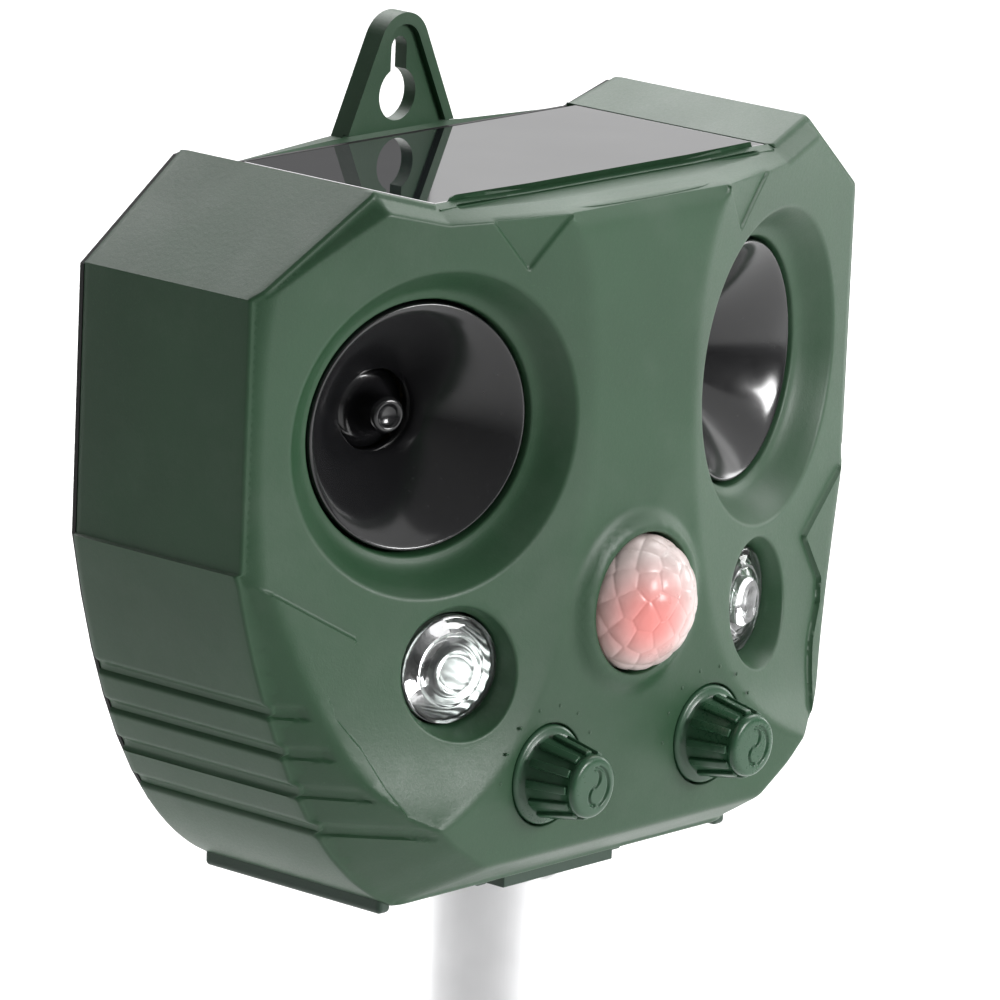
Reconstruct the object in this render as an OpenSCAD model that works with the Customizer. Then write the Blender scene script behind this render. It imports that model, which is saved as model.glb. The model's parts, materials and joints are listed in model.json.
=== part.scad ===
// Solar ultrasonic pest repeller on a ground stake.
// Head frame: x to the right, y = 0 on the joint between the two half shells with the front
// towards -y, z = 0 near the bottom of the front face. at_head() puts it over the stake.

/* [Body] */
// Width of the front housing
body_w = 153; // [130:1:185]
// Depth from the rear joint to the flat front face
body_d = 56.2; // [48:0.2:66]
// Wall thickness of the housings
wall = 2.4; // [1.8:0.1:3]
// Height of the shoulder corner above the head datum
shoulder_z = 100.2; // [96:0.1:104]
// Height of the ear peak above the head datum
ear_z = 116.3; // [112:0.1:122]
// Half distance between the two ear peaks
ear_x = 54; // [48:0.5:60]
// Height where the straight side ends and the curved jaw begins
cheek_z = 54.7; // [48:0.1:60]
// Half width of the flat underside
chin_x = 41.5; // [38:0.5:48]
// Height of the underside, below the head datum
chin_z = -5.6; // [-9:0.1:-3]
// Angle that each front flank turns back from the flat face
flank_tilt = 16.2; // [12:0.2:20]
// Half width of the flat front face at its waist
waist_x = 13; // [11:0.5:17]
// Width of the bevel round the front edge
bevel_w = 3.3; // [2:0.1:5]
// Depth of the cheek grooves
groove_d = 0.9; // [0.4:0.1:1.4]

/* [Solar panel] */
// Width of the solar panel
panel_w = 83; // [70:0.5:92]
// Front-to-back length of the solar panel
panel_d = 42.5; // [34:0.5:50]
// Thickness of the panel glass
glass_t = 2; // [1:0.1:3]

/* [Speakers] */
// Half distance between the speaker centres, at the housing face
horn_x = 42; // [38:0.5:46]
// Height of the speakers above the head datum
horn_z = 75.3; // [72:0.1:80]
// Radius of each speaker recess at the housing face
recess_r = 27.3; // [24:0.1:29]
// Radius of the horn mouth
mouth_r = 20.6; // [17:0.1:22]
// Depth of the horn mouth below the recess rim
mouth_depth = 5.5; // [4:0.1:8]
// Depth of the horn from mouth to throat
horn_depth = 17; // [14:0.5:20]
// Radius of the horn throat
throat_r = 7; // [5:0.1:8.5]

/* [Lamps] */
// Half distance between the lamp centres
lamp_x = 37.7; // [35:0.1:42]
// Height of the lamps above the head datum
lamp_z = 35.2; // [32:0.1:37]
// Radius of each lamp recess
lamp_r = 11.1; // [9:0.1:12]

/* [Motion sensor] */
// Height of the sensor dome above the head datum
eye_z = 42.5; // [40:0.1:46]
// Radius of the sensor dome
dome_r = 11.4; // [9.5:0.1:12]
// How far the dome stands out of the front face
dome_h = 9; // [6:0.1:12]
// Radius of the raised ring round the dome
eye_ring_r = 15.8; // [14.5:0.1:17.5]
// Height of the raised ring
eye_ring_h = 2; // [1:0.1:3]

/* [Knobs] */
// Half distance between the two knobs
knob_x = 20.3; // [18:0.1:23]
// Height of the knobs above the head datum
knob_z = 16.2; // [14.5:0.1:18]
// Radius of the knob flange
knob_flange_r = 8.4; // [7:0.1:9.5]
// Radius of the knob grip at its root
knob_r = 6.9; // [5.5:0.1:7.2]
// Radius of the knob at its front face
knob_tip_r = 5.4; // [4.5:0.1:6.5]
// How far each knob stands out of the front face
knob_h = 10.4; // [8:0.1:13]
// Radius of the potentiometer shafts
shaft_r = 3; // [2.5:0.1:3]

/* [Hanger] */
// Half width of the hanger tab at its base
hanger_x = 16.2; // [13:0.1:20]
// Height of the hanger hole above the head datum
hanger_z = 119; // [118:0.1:123]
// Radius of the round part of the keyhole
hanger_hole_r = 4.5; // [3.5:0.1:4.8]
// Width of the keyhole slot
hanger_slot_w = 3.8; // [3:0.1:5]

/* [Stake] */
// Outside radius of the stake tube
tube_r = 11; // [9:0.1:11.5]
// Wall of the stake tube
tube_wall = 1; // [0.8:0.1:1.6]
// Length of tube between the bracket and the ground spike's flange
tube_l = 92; // [60:1:300]
// Distance of the tube axis in front of the rear joint
tube_y = 28.3; // [26:0.1:30]
// Length of the spike below the soil
spike_l = 92; // [70:1:140]

/* [Battery and fasteners] */
// Diameter of the battery cell
cell_d = 18.4; // [14:0.1:18.6]
// Length of the battery cell
cell_l = 65; // [50:0.5:68]
// Radius of the screw shanks
screw_r = 1.4; // [1.2:0.1:1.6]
// Radius of the screw heads
screw_head_r = 2.8; // [2.4:0.1:3]

/* [Hidden] */
$fn = 64;
big = 400;
slip = 0.3;
fit_gap = 0.05;
green = [0.07, 0.22, 0.14];
dark_green = [0.05, 0.16, 0.10];
black = [0.06, 0.06, 0.06];
board_green = [0.05, 0.35, 0.2];
silver = [0.75, 0.75, 0.77];

// Ground level to head datum: flange of the spike, then the tube, then the bracket plate.
plate_t = 3.8;
plate_top_z = chin_z + 1.8;
plate_low_z = plate_top_z - plate_t;
spike_flange_t = 4;
head_z = spike_flange_t + tube_l - plate_low_z;

// Front view outline of the right half, from the panel's end down to the underside.
side_x = body_w / 2;
panel_z = ear_z - 3.3;
notch_x = panel_w / 2 + 0.4;
jaw_steps = 9;
jaw_pull = [side_x - 10.5, 5];
function bezier(a, b, c, t) = a * (1 - t) * (1 - t) + b * 2 * t * (1 - t) + c * t * t;
function jaw(t) = bezier([side_x, cheek_z], jaw_pull, [chin_x, chin_z], t);
half_outline = concat(
    [[notch_x, panel_z], [ear_x - 1, ear_z], [ear_x + 1, ear_z - 0.3], [side_x, shoulder_z]],
    [for (i = [0:jaw_steps]) jaw(i / jaw_steps)]);
function mirrored(p) = [for (i = [len(p) - 1:-1:0]) [-p[i][0], p[i][1]]];
outline = concat(half_outline, mirrored(half_outline));

// Moves every edge of a clockwise outline inwards by d.
function unit(v) = v / norm(v);
function edge_normal(a, b) = unit([a[1] - b[1], b[0] - a[0]]);
function inset_point(p, i, d) =
    let (n = len(p), a = p[(i + n - 1) % n], b = p[i], c = p[(i + 1) % n])
    let (m = -edge_normal(a, b), k = -edge_normal(b, c))
    b + d * (m + k) / (1 + m * k);
function inset(p, d) = [for (i = [0:len(p) - 1]) inset_point(p, i, d)];

// Crease between the flat face and a flank: half width of the flat face at height z.
waist_z = 76;
function crease_x(z) =
    z > waist_z ? waist_x + 5.5 * pow((z - waist_z) / 32, 3)
    : waist_x + 2.9 * pow((waist_z - z) / 26, 2) + 3.2 * pow((waist_z - z) / 54, 8.5);
slope = tan(flank_tilt);
function flank_y(x, z) = -body_d + slope * max(x - crease_x(z), 0);

// Front edge: s is on the side wall where the bevel starts, e is on the face where it ends.
chin_face_z = 2.6;
side_bevel_y = flank_y(side_x - bevel_w, waist_z) + 2.7;
function edge_s(t) = [jaw(t)[0], side_bevel_y - 5 * t, jaw(t)[1]];
mask_top = [side_x - 4.5, cheek_z - 2.8];
mask_pull = [side_x - 9.1, 20.5];
mask_tip = [48.4, 10.3];
function mask_edge(t) = bezier(mask_top, mask_pull, mask_tip, t);
function edge_e(t) = [mask_edge(t)[0], flank_y(mask_edge(t)[0], mask_edge(t)[1]), mask_edge(t)[1]];

module at_head() {
    translate([0, tube_y, head_z]) children();
}
module both_sides() {
    children();
    mirror([1, 0, 0]) children();
}
// A side piece is drawn at the right and mirrored for the left.
module on_side(side) {
    if (side > 0) children();
    else mirror([1, 0, 0]) children();
}
// Extrudes a front view towards the front, from y = -from to y = -to.
module front_prism(from, to) {
    translate([0, -from, 0]) rotate([90, 0, 0]) linear_extrude(to - from) children();
}
// Removes what lies outside the plane through p, q and r, moved inwards by d.
module outside_plane(p, q, r, d = 0) {
    n = unit(cross(q - p, r - p));
    translate(p - n * d)
        rotate([0, acos(n[2]), atan2(n[1], n[0])])
            translate([-big / 2, -big / 2, 0]) cube(big);
}
// Everything behind the right flank, moved inwards by d.
module flank_prism(d) {
    steps = 26;
    low = chin_z - 20;
    high = ear_z + 20;
    k = sqrt(1 + slope * slope);
    edge = [for (i = [0:steps])
        let (z = mask_tip[1] - 2 + (high - mask_tip[1]) * i / steps)
        [(body_d + slope * crease_x(z)) / k - d, z]];
    rotate([0, 0, flank_tilt - 90]) rotate([90, 0, 0]) linear_extrude(big, center = true)
        polygon(concat([[-big / 2, low], [edge[0][0], low]], edge, [[-big / 2, edge[steps][1]]]));
}
module side_cuts(d) {
    shoulder_s = [side_x, side_bevel_y, shoulder_z];
    cheek_s = [side_x, side_bevel_y, cheek_z];
    cheek_e = [side_x - bevel_w, flank_y(side_x - bevel_w, cheek_z), cheek_z];
    ear_s = [ear_x, side_bevel_y - 6.4, ear_z];
    ear_e = [ear_x - 0.6, flank_y(ear_x, ear_z), ear_z - bevel_w];
    jaw_parts = 4;
    outside_plane(cheek_s, shoulder_s, cheek_e, d);
    outside_plane(shoulder_s, ear_s, ear_e, d);
    for (i = [0:jaw_parts - 1])
        outside_plane(edge_s((i + 1) / jaw_parts), edge_s(i / jaw_parts), edge_e((i + 0.5) / jaw_parts), d);
}
// Solid inside the outer skin, moved inwards by d.
module shell_form(d) {
    chin_front = [0, -body_d, chin_face_z];
    chin_back = [0, edge_s(1)[1], chin_z];
    difference() {
        intersection() {
            front_prism(0, body_d - d) polygon(inset(outline, d));
            flank_prism(d);
            mirror([1, 0, 0]) flank_prism(d);
        }
        both_sides() side_cuts(d);
        outside_plane(chin_front, chin_back, chin_back + [10, 0, 0], d);
    }
}

// Speaker frame: origin in the recess rim on the flank, +z out of the mouth.
module at_horn() {
    translate([horn_x, flank_y(horn_x, horn_z), horn_z]) rotate([90, 0, flank_tilt]) children();
}
horn_wall = 1.6;
horn_gap = 0.4;
throat_z = -mouth_depth - horn_depth;
seat_z = -mouth_depth - 4;
flange_t = 1.8;
flange_r = mouth_r + 6.4;
driver_r = 17;
driver_l = 9;
disc_t = 0.8;
disc_r = 13.5;
horn_screw_ring = flange_r - screw_head_r - 0.4;
function horn_screw_at(i) = [0, 0, 90 + 120 * i];

// Lamp frame, in the same way.
module at_lamp() {
    translate([lamp_x, flank_y(lamp_x, lamp_z), lamp_z]) rotate([90, 0, flank_tilt]) children();
}
lamp_floor_r = lamp_r - 1.5;
lamp_seat_z = -6;
lens_t = 1.4;
reflector_t = 1;
reflector_l = 5.5;
led_r = 2.5;
lamp_board_t = 1.2;

module at_eye() {
    translate([0, -body_d, eye_z]) rotate([90, 0, 0]) children();
}
eye_hole_r = dome_r + 0.6;
eye_seat_z = -3.4;
dome_t = 1;
dome_flange_t = 1.2;

module at_knob() {
    translate([knob_x, -body_d, knob_z]) rotate([90, 0, 0]) children();
}
knob_well = 2;
knob_hole_r = knob_flange_r + slip;
knob_back_z = -knob_well + slip;
knob_bore_l = 7;
bush_r = shaft_r + 1.3;
control_seat_z = -knob_well - wall;
control_r = 7.4;
control_l = 6;

board_t = 1.6;
board_y = -body_d + 16;
board_x = 25;
board_low = 4;
board_high = eye_z + 8;
board_front = board_t - board_y;
function board_screw_at() = [[board_x - 4, board_high - 4], [board_x - 4, 27.5]];

gasket_t = 0.8;
back_t = 3.2;
back_y = gasket_t + back_t;
lip_l = 4;
lip_t = 1.6;
function boss_at() = [[side_x - 11.5, shoulder_z - 4], [side_x - 23, 15]];
boss_r = 4.2;
boss_front = 30;

panel_back = 2.4;
tray_t = 2;
seal_w = 1.6;
cells_t = 1;

door_w = 88;
door_h = 25;
door_z = 14;
door_t = 2.6;
door_screw_x = door_w / 2 - 4;
cell_y = -cell_d / 2 - 4.5;
cell_z = door_z;
holder_t = 1.8;
contact_t = 0.6;

charge_x = 44;
charge_z = 34;
charge_w = 9;
charge_h = 3.6;
cap_w = 15;
cap_h = 8;
cap_t = 1.4;
cap_well = 1.6;
cap_pin_r = 0.5;
cap_axis_x = charge_x - cap_w / 2;
cap_axis_y = back_y - cap_well + fit_gap + cap_t / 2;

rail_x = 17;
rail_w = 2.4;
rail_front = 40;
rail_lip = 1.7;
rail_l = rail_front - 1;
rail_low_z = plate_low_z + 0.6;
slot_x = rail_x - rail_w / 2;
slot_top_z = plate_top_z + slip;
neck_x = slot_x - rail_lip - slip;
foot_x = 42.5;
foot_w = 3;
foot_low_z = -6.9;
foot_from = 1.5;
foot_to = 41.4;

module screw(l) {
    translate([0, 0, -l]) cylinder(r = screw_r, h = l);
    difference() {
        cylinder(r = screw_head_r, h = 1.8);
        translate([0, 0, 0.9]) for (a = [0, 90])
            rotate([0, 0, a]) translate([-1.6, -0.35, 0]) cube([3.2, 0.7, 2]);
    }
}

module horn_bowl(d) {
    rotate_extrude() polygon([[0, 12], [recess_r + d + 6, 12], [recess_r + d, 0],
        [mouth_r + horn_gap + d + 1.4, -mouth_depth + 0.4], [mouth_r + horn_gap + d, -mouth_depth - 1],
        [mouth_r + horn_gap + d, seat_z], [0, seat_z]]);
}
module horn_hub() {
    hub_r = recess_r + wall;
    rotate_extrude() polygon([[0, 8], [hub_r, 8], [hub_r, 0], [flange_r, seat_z], [0, seat_z]]);
}
module groove_cuts() {
    for (i = [0:3]) {
        low = 9.2 + 7.05 * i;
        difference() {
            translate([-big / 2, -body_d, low]) cube([big, body_d + back_y + 1, 2.3]);
            front_prism(-back_y - 2, body_d + 1) polygon(inset(outline, groove_d));
        }
    }
}
module rails() {
    rail_top = chin_z + 0.5;
    for (s = [0, 1]) mirror([s, 0, 0]) {
        translate([slot_x, -rail_front, rail_low_z]) cube([rail_w, rail_l, rail_top - rail_low_z]);
        translate([slot_x - rail_lip, -rail_front, rail_low_z])
            cube([rail_lip + 0.1, rail_l, chin_z - rail_low_z]);
        translate([foot_x - foot_w / 2, -foot_to, foot_low_z])
            cube([foot_w, foot_to - foot_from, chin_z - foot_low_z + 2]);
    }
    translate([-slot_x - 1.5, -rail_front - 3, slot_top_z]) cube([2 * slot_x + 3, rail_front + 1, 2]);
}
module front_housing() {
    color(green) at_head() difference() {
        union() {
            difference() {
                shell_form(0);
                shell_form(wall);
                groove_cuts();
                plate_slot();
                panel_pocket();
            }
            both_sides() {
                intersection() {
                    union() {
                        at_horn() horn_hub();
                        at_lamp() translate([0, 0, lamp_seat_z]) cylinder(r = lamp_r + 2, h = 12);
                    }
                    shell_form(0);
                }
                at_knob() translate([0, 0, control_seat_z])
                    cylinder(r = knob_hole_r + 1.6, h = -control_seat_z - 0.5);
                for (p = boss_at()) front_prism(2, boss_front) translate(p) circle(r = boss_r);
                for (p = boss_at()) boss_rib(p);
                for (p = board_screw_at()) front_prism(board_front, body_d - 2) translate(p) circle(r = 3);
            }
            at_eye() cylinder(r1 = eye_ring_r, r2 = eye_hole_r + 1.2, h = eye_ring_h);
            at_eye() translate([0, 0, eye_seat_z]) cylinder(r = eye_hole_r + 2.4, h = -eye_seat_z);
            rails();
            panel_tray();
        }
        both_sides() {
            at_horn() horn_bowl(0);
            for (i = [0:2])
                at_horn() rotate(horn_screw_at(i)) translate([horn_screw_ring, 0, seat_z - 0.01])
                    cylinder(r = screw_r - fit_gap, h = 3);
            at_lamp() translate([0, 0, lamp_seat_z - 1]) cylinder(r = lamp_floor_r, h = -lamp_seat_z + 2);
            at_lamp() translate([0, 0, -3])
                cylinder(r1 = lamp_floor_r, r2 = 2 * lamp_r - lamp_floor_r, h = 6);
            at_knob() translate([0, 0, -knob_well]) cylinder(r = knob_hole_r, h = knob_well + 1);
            at_knob() translate([0, 0, control_seat_z - 1]) cylinder(r = bush_r + fit_gap, h = 8);
            for (p = boss_at()) front_prism(1, boss_front - 4) translate(p) circle(r = screw_r - fit_gap);
            for (p = board_screw_at())
                front_prism(-board_y - 1, -board_y + 8) translate(p) circle(r = screw_r - fit_gap);
        }
        at_eye() translate([0, 0, eye_seat_z - 1]) cylinder(r = eye_hole_r, h = 10);
    }
}
// Ties a screw boss to the nearest wall.
module boss_rib(p) {
    upper = p[1] > cheek_z;
    x = p[0] + boss_r - 1;
    front_prism(2, boss_front) translate([x, p[1] - 1])
        square([(upper ? side_x : jaw(0.5)[0]) - wall / 2 - x, 2]);
}
// The bracket plate runs in a shallow channel in the underside.
module plate_slot() {
    translate([-slot_x, -rail_front - 8, chin_z - 1])
        cube([2 * slot_x, rail_front + 6, slot_top_z - chin_z + 1]);
}
module panel_pocket() {
    translate([-panel_w / 2 - slip, -panel_back - panel_d - slip, panel_z - glass_t])
        cube([panel_w + 2 * slip, panel_d + 2 * slip, 20]);
    translate([-panel_w / 2 + seal_w, -panel_back - panel_d + seal_w, panel_z - glass_t - seal_w - cells_t])
        cube([panel_w - 2 * seal_w, panel_d - 2 * seal_w, 20]);
}
// Tray that carries the solar panel, closed below.
module panel_tray() {
    floor_z = panel_z - glass_t - seal_w - cells_t;
    front_y = -panel_back - panel_d - slip - tray_t;
    difference() {
        translate([-panel_w / 2 - slip - tray_t, front_y, floor_z - tray_t])
            cube([panel_w + 2 * (slip + tray_t), -front_y - 0.5, tray_t + 3]);
        panel_pocket();
    }
}
module rear_cover() {
    color(green) at_head() {
        difference() {
            union() {
                front_prism(-back_y, -gasket_t) polygon(outline);
                difference() {
                    front_prism(-gasket_t, lip_l) polygon(inset(outline, wall + slip));
                    front_prism(-gasket_t, lip_l + 1) polygon(inset(outline, wall + slip + lip_t));
                    lip_reliefs();
                }
                hanger();
                door_frame();
            }
            for (s = [-1, 1]) for (p = boss_at()) {
                front_prism(-back_y - 1, 1) translate([s * p[0], p[1]]) circle(r = screw_r + 0.2);
                front_prism(-back_y - 1, -back_y + 1.8) translate([s * p[0], p[1]])
                    circle(r = screw_head_r + 0.2);
            }
            door_opening();
            charge_opening();
            hanger_hole();
            groove_cuts();
        }
    }
}
module lip_reliefs() {
    for (s = [-1, 1]) for (p = boss_at())
        front_prism(-1, lip_l + 1) translate([s * p[0] - 7, p[1] - 6]) square([24, 12]);
    translate([-panel_w / 2 - 4, -lip_l - 1, panel_z - 14]) cube([panel_w + 8, lip_l + 2, 30]);
    translate([-rail_x - 2, -lip_l - 1, chin_z]) cube([2 * rail_x + 4, lip_l + 2, wall + slip + lip_t + 1]);
}
// Triangle with a round top; grow moves its outline out or in.
module hanger_form(grow) {
    top = [0, hanger_z + 8];
    base = [hanger_x + grow, panel_z - 6];
    r = 6.1 + grow;
    d = base - top;
    a = atan2(d[1], d[0]) + acos(r / norm(d));
    touch = r * [cos(a), sin(a)];
    translate(top) circle(r = r);
    polygon([base, top + touch, top + [-touch[0], touch[1]], [-base[0], base[1]]]);
}
module hanger() {
    rim_w = 2;
    front_prism(-back_y, -gasket_t - 0.6) hanger_form(0);
    difference() {
        front_prism(-back_y, -0.2) hanger_form(0);
        front_prism(-back_y - 1, 2) hanger_form(-rim_w);
        front_prism(-back_y - 1, 2) translate([-30, panel_z - 20]) square([60, 20.5]);
    }
}
module hanger_hole() {
    front_prism(-back_y - 1, 1) translate([0, hanger_z]) circle(r = hanger_hole_r);
    front_prism(-back_y - 1, 1) translate([-hanger_slot_w / 2, hanger_z]) square([hanger_slot_w, 8]);
    front_prism(-back_y - 1, 1) translate([0, hanger_z + 8]) circle(r = hanger_slot_w / 2);
}
module door_frame() {
    front_prism(-back_y + 0.01, 1.2) translate([-door_w / 2 - 2, door_z - door_h / 2 - 2])
        square([door_w + 4, door_h + 4]);
}
module door_opening() {
    front_prism(-back_y - 1, -back_y + door_t) translate([-door_w / 2 - slip, door_z - door_h / 2 - slip])
        square([door_w + 2 * slip, door_h + 2 * slip]);
    front_prism(-back_y - 1, 3) translate([-door_w / 2 + 9, door_z - door_h / 2 + 2])
        square([door_w - 18, door_h - 4]);
    for (s = [-1, 1]) front_prism(-back_y, 3) translate([s * door_screw_x, door_z])
        circle(r = screw_r - fit_gap);
}
module charge_opening() {
    x = charge_x - charge_w / 2 - slip;
    front_prism(-back_y - 1, cap_well - back_y) translate([cap_axis_x - 1.2, charge_z - cap_h / 2 - slip])
        square([cap_w + 2, cap_h + 2 * slip]);
    front_prism(-back_y - 1, 1) translate([x, charge_z - charge_h / 2 - slip])
        square([charge_w + 2 * slip, charge_h + 2 * slip]);
    translate([cap_axis_x, cap_axis_y, charge_z - cap_h / 2 - 1.6])
        cylinder(r = cap_pin_r + fit_gap, h = cap_h + 3.2);
}
module housing_gasket() {
    color(black) at_head() difference() {
        front_prism(-gasket_t, 0) polygon(inset(outline, 0.7));
        front_prism(-gasket_t - 1, 1) polygon(inset(outline, wall - 0.2));
    }
}
module housing_screws() {
    color(silver) at_head() for (s = [-1, 1]) for (p = boss_at())
        translate([s * p[0], back_y - 1.8, p[1]]) rotate([-90, 0, 0]) screw(back_y + 16);
}
module solar_glass() {
    color([0.05, 0.06, 0.07]) at_head()
        translate([-panel_w / 2, -panel_back - panel_d, panel_z - glass_t]) cube([panel_w, panel_d, glass_t]);
}
module solar_cells() {
    gap = 0.8;
    strips = 6;
    inner = panel_w - 2 * seal_w - 4;
    pitch = inner / strips;
    front_y = -panel_back - panel_d;
    color([0.03, 0.04, 0.12]) at_head() for (i = [0:strips - 1])
        translate([-inner / 2 + gap / 2 + i * pitch, front_y + seal_w + 2, panel_z - glass_t - cells_t])
            cube([pitch - gap, panel_d - 2 * seal_w - 4, cells_t]);
}
module solar_gasket() {
    z = panel_z - glass_t - seal_w - cells_t;
    color(black) at_head() difference() {
        translate([-panel_w / 2 + seal_w, -panel_back - panel_d + seal_w, z])
            cube([panel_w - 2 * seal_w, panel_d - 2 * seal_w, seal_w + cells_t]);
        translate([-panel_w / 2 + seal_w + 1.6, -panel_back - panel_d + seal_w + 1.6, z - 1])
            cube([panel_w - 2 * seal_w - 3.2, panel_d - 2 * seal_w - 3.2, seal_w + cells_t + 2]);
    }
}
module horn_form() {
    difference() {
        rotate_extrude() polygon([
            [mouth_r, -mouth_depth], [throat_r, throat_z], [throat_r, throat_z - 2],
            [driver_r, throat_z - 2], [driver_r, throat_z],
            [throat_r + horn_wall + 1, throat_z],
            [mouth_r - 3.2 + horn_wall, seat_z - flange_t], [flange_r, seat_z - flange_t],
            [flange_r, seat_z], [mouth_r + horn_gap / 2, seat_z], [mouth_r + horn_gap / 2, -mouth_depth]]);
        for (i = [0:2]) rotate(horn_screw_at(i)) translate([horn_screw_ring, 0, seat_z - 4])
            cylinder(r = screw_r + 0.15, h = 8);
    }
}
module plug_form() {
    plug_r = 3.1;
    plug_top = -mouth_depth - 9.5;
    difference() {
        union() {
            translate([0, 0, throat_z - 2]) cylinder(r = plug_r, h = plug_top - throat_z + 2);
            translate([0, 0, throat_z - 1]) cylinder(r1 = plug_r + 1.6, r2 = plug_r, h = 4);
            for (a = [0:120:240]) rotate([0, 0, a]) translate([0, -0.6, throat_z - 1.6])
                cube([throat_r - 0.02, 1.2, 1.4]);
        }
        translate([0, 0, plug_top - 1.4]) cylinder(r1 = 1, r2 = 2.2, h = 1.5);
    }
}
module driver_cap_form() {
    z = throat_z - 2;
    difference() {
        translate([0, 0, z - driver_l]) cylinder(r = driver_r, h = driver_l);
        translate([0, 0, z - driver_l + 1.6]) cylinder(r = disc_r + 0.2, h = driver_l);
    }
}
module piezo_form() {
    z = throat_z - 2;
    translate([0, 0, z - 3]) cylinder(r = disc_r, h = disc_t);
    translate([0, 0, z - driver_l + 1.6]) cylinder(r = 5, h = driver_l - 4.6);
}
module left_horn() { color(black) at_head() on_side(-1) at_horn() horn_form(); }
module right_horn() { color(black) at_head() on_side(1) at_horn() horn_form(); }
module left_horn_plug() { color(black) at_head() on_side(-1) at_horn() plug_form(); }
module right_horn_plug() { color(black) at_head() on_side(1) at_horn() plug_form(); }
module left_driver_cap() { color(black) at_head() on_side(-1) at_horn() driver_cap_form(); }
module right_driver_cap() { color(black) at_head() on_side(1) at_horn() driver_cap_form(); }
module left_piezo_disc() { color("goldenrod") at_head() on_side(-1) at_horn() piezo_form(); }
module right_piezo_disc() { color("goldenrod") at_head() on_side(1) at_horn() piezo_form(); }
module horn_screws() {
    color(silver) at_head() both_sides() for (i = [0:2])
        at_horn() rotate(horn_screw_at(i)) translate([horn_screw_ring, 0, seat_z - flange_t])
            mirror([0, 0, 1]) screw(flange_t + 2.5);
}
module reflector_form() {
    top = lamp_seat_z + 2;
    difference() {
        union() {
            translate([0, 0, lamp_seat_z - reflector_t]) cylinder(r = lamp_r + 0.8, h = reflector_t);
            translate([0, 0, lamp_seat_z - reflector_l])
                cylinder(r1 = led_r + 3, r2 = lamp_floor_r - 0.4, h = reflector_l);
            translate([0, 0, lamp_seat_z]) cylinder(r = lamp_floor_r - 0.4, h = 2);
        }
        translate([0, 0, lamp_seat_z - reflector_l - 0.01])
            cylinder(r1 = led_r + 0.4, r2 = lamp_floor_r - 1.4, h = reflector_l + 2.02);
    }
}
module lamp_lens_form() {
    z = lamp_seat_z + 2;
    translate([0, 0, z]) cylinder(r = lamp_floor_r - 0.4, h = lens_t);
    intersection() {
        translate([0, 0, z - 6.2]) sphere(r = 9.2);
        translate([0, 0, z + lens_t - 0.2]) cylinder(r = 6.1, h = 6);
    }
}
module lamp_led_form() {
    z = lamp_seat_z - reflector_l;
    cylinder_l = 2.6;
    translate([0, 0, z]) cylinder(r = led_r, h = cylinder_l);
    translate([0, 0, z + cylinder_l]) sphere(r = led_r);
}
module lamp_board_form() {
    translate([0, 0, lamp_seat_z - reflector_l - lamp_board_t]) cylinder(r = 7.5, h = lamp_board_t);
}
module left_lamp_reflector() { color(silver) at_head() on_side(-1) at_lamp() reflector_form(); }
module right_lamp_reflector() { color(silver) at_head() on_side(1) at_lamp() reflector_form(); }
module left_lamp_lens() { color([0.9, 0.95, 1, 0.5]) at_head() on_side(-1) at_lamp() lamp_lens_form(); }
module right_lamp_lens() { color([0.9, 0.95, 1, 0.5]) at_head() on_side(1) at_lamp() lamp_lens_form(); }
module left_lamp_led() { color("white") at_head() on_side(-1) at_lamp() lamp_led_form(); }
module right_lamp_led() { color("white") at_head() on_side(1) at_lamp() lamp_led_form(); }
module left_lamp_board() { color(board_green) at_head() on_side(-1) at_lamp() lamp_board_form(); }
module right_lamp_board() { color(board_green) at_head() on_side(1) at_lamp() lamp_board_form(); }
// Dome lens with a skirt and a flange behind the seat; its cap is part of a sphere.
module sensor_lens() {
    cap_h = dome_h - 2;
    ball_r = (dome_r * dome_r + cap_h * cap_h) / (2 * cap_h);
    color([0.9, 0.85, 0.85]) at_head() at_eye() difference() {
        union() {
            translate([0, 0, eye_seat_z - dome_flange_t]) cylinder(r = eye_hole_r + 1.8, h = dome_flange_t);
            translate([0, 0, eye_seat_z - 0.01]) cylinder(r = dome_r, h = 2.01 - eye_seat_z);
            intersection() {
                translate([0, 0, dome_h - ball_r]) sphere(r = ball_r);
                translate([0, 0, 1.99]) cylinder(r = dome_r, h = cap_h + 1);
            }
        }
        translate([0, 0, eye_seat_z - 4]) cylinder(r = dome_r - dome_t, h = 6 - eye_seat_z);
        intersection() {
            translate([0, 0, dome_h - ball_r]) sphere(r = ball_r - dome_t);
            translate([0, 0, 1.9]) cylinder(r = dome_r - dome_t, h = cap_h + 1);
        }
    }
}
module sensor_element() {
    color(silver) at_head() translate([0, board_y - board_t, eye_z]) rotate([90, 0, 0]) {
        cylinder(r = 4.6, h = 0.6);
        cylinder(r = 4.1, h = 5);
    }
}
module sensor_light() {
    color("red") at_head() translate([7.4, board_y - board_t, eye_z]) rotate([90, 0, 0]) {
        cylinder(r = 1.5, h = 6);
        translate([0, 0, 6]) sphere(r = 1.5);
    }
}
module main_board() {
    color(board_green) at_head() difference() {
        translate([-board_x, board_y - board_t, board_low])
            cube([2 * board_x, board_t, board_high - board_low]);
        for (s = [-1, 1]) for (p = board_screw_at())
            front_prism(-board_y - 1, board_front + 1) translate([s * p[0], p[1]]) circle(r = screw_r + 0.15);
    }
}
module board_screws() {
    color(silver) at_head() for (s = [-1, 1]) for (p = board_screw_at())
        translate([s * p[0], board_y, p[1]]) rotate([-90, 0, 0]) screw(6);
}
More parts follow.
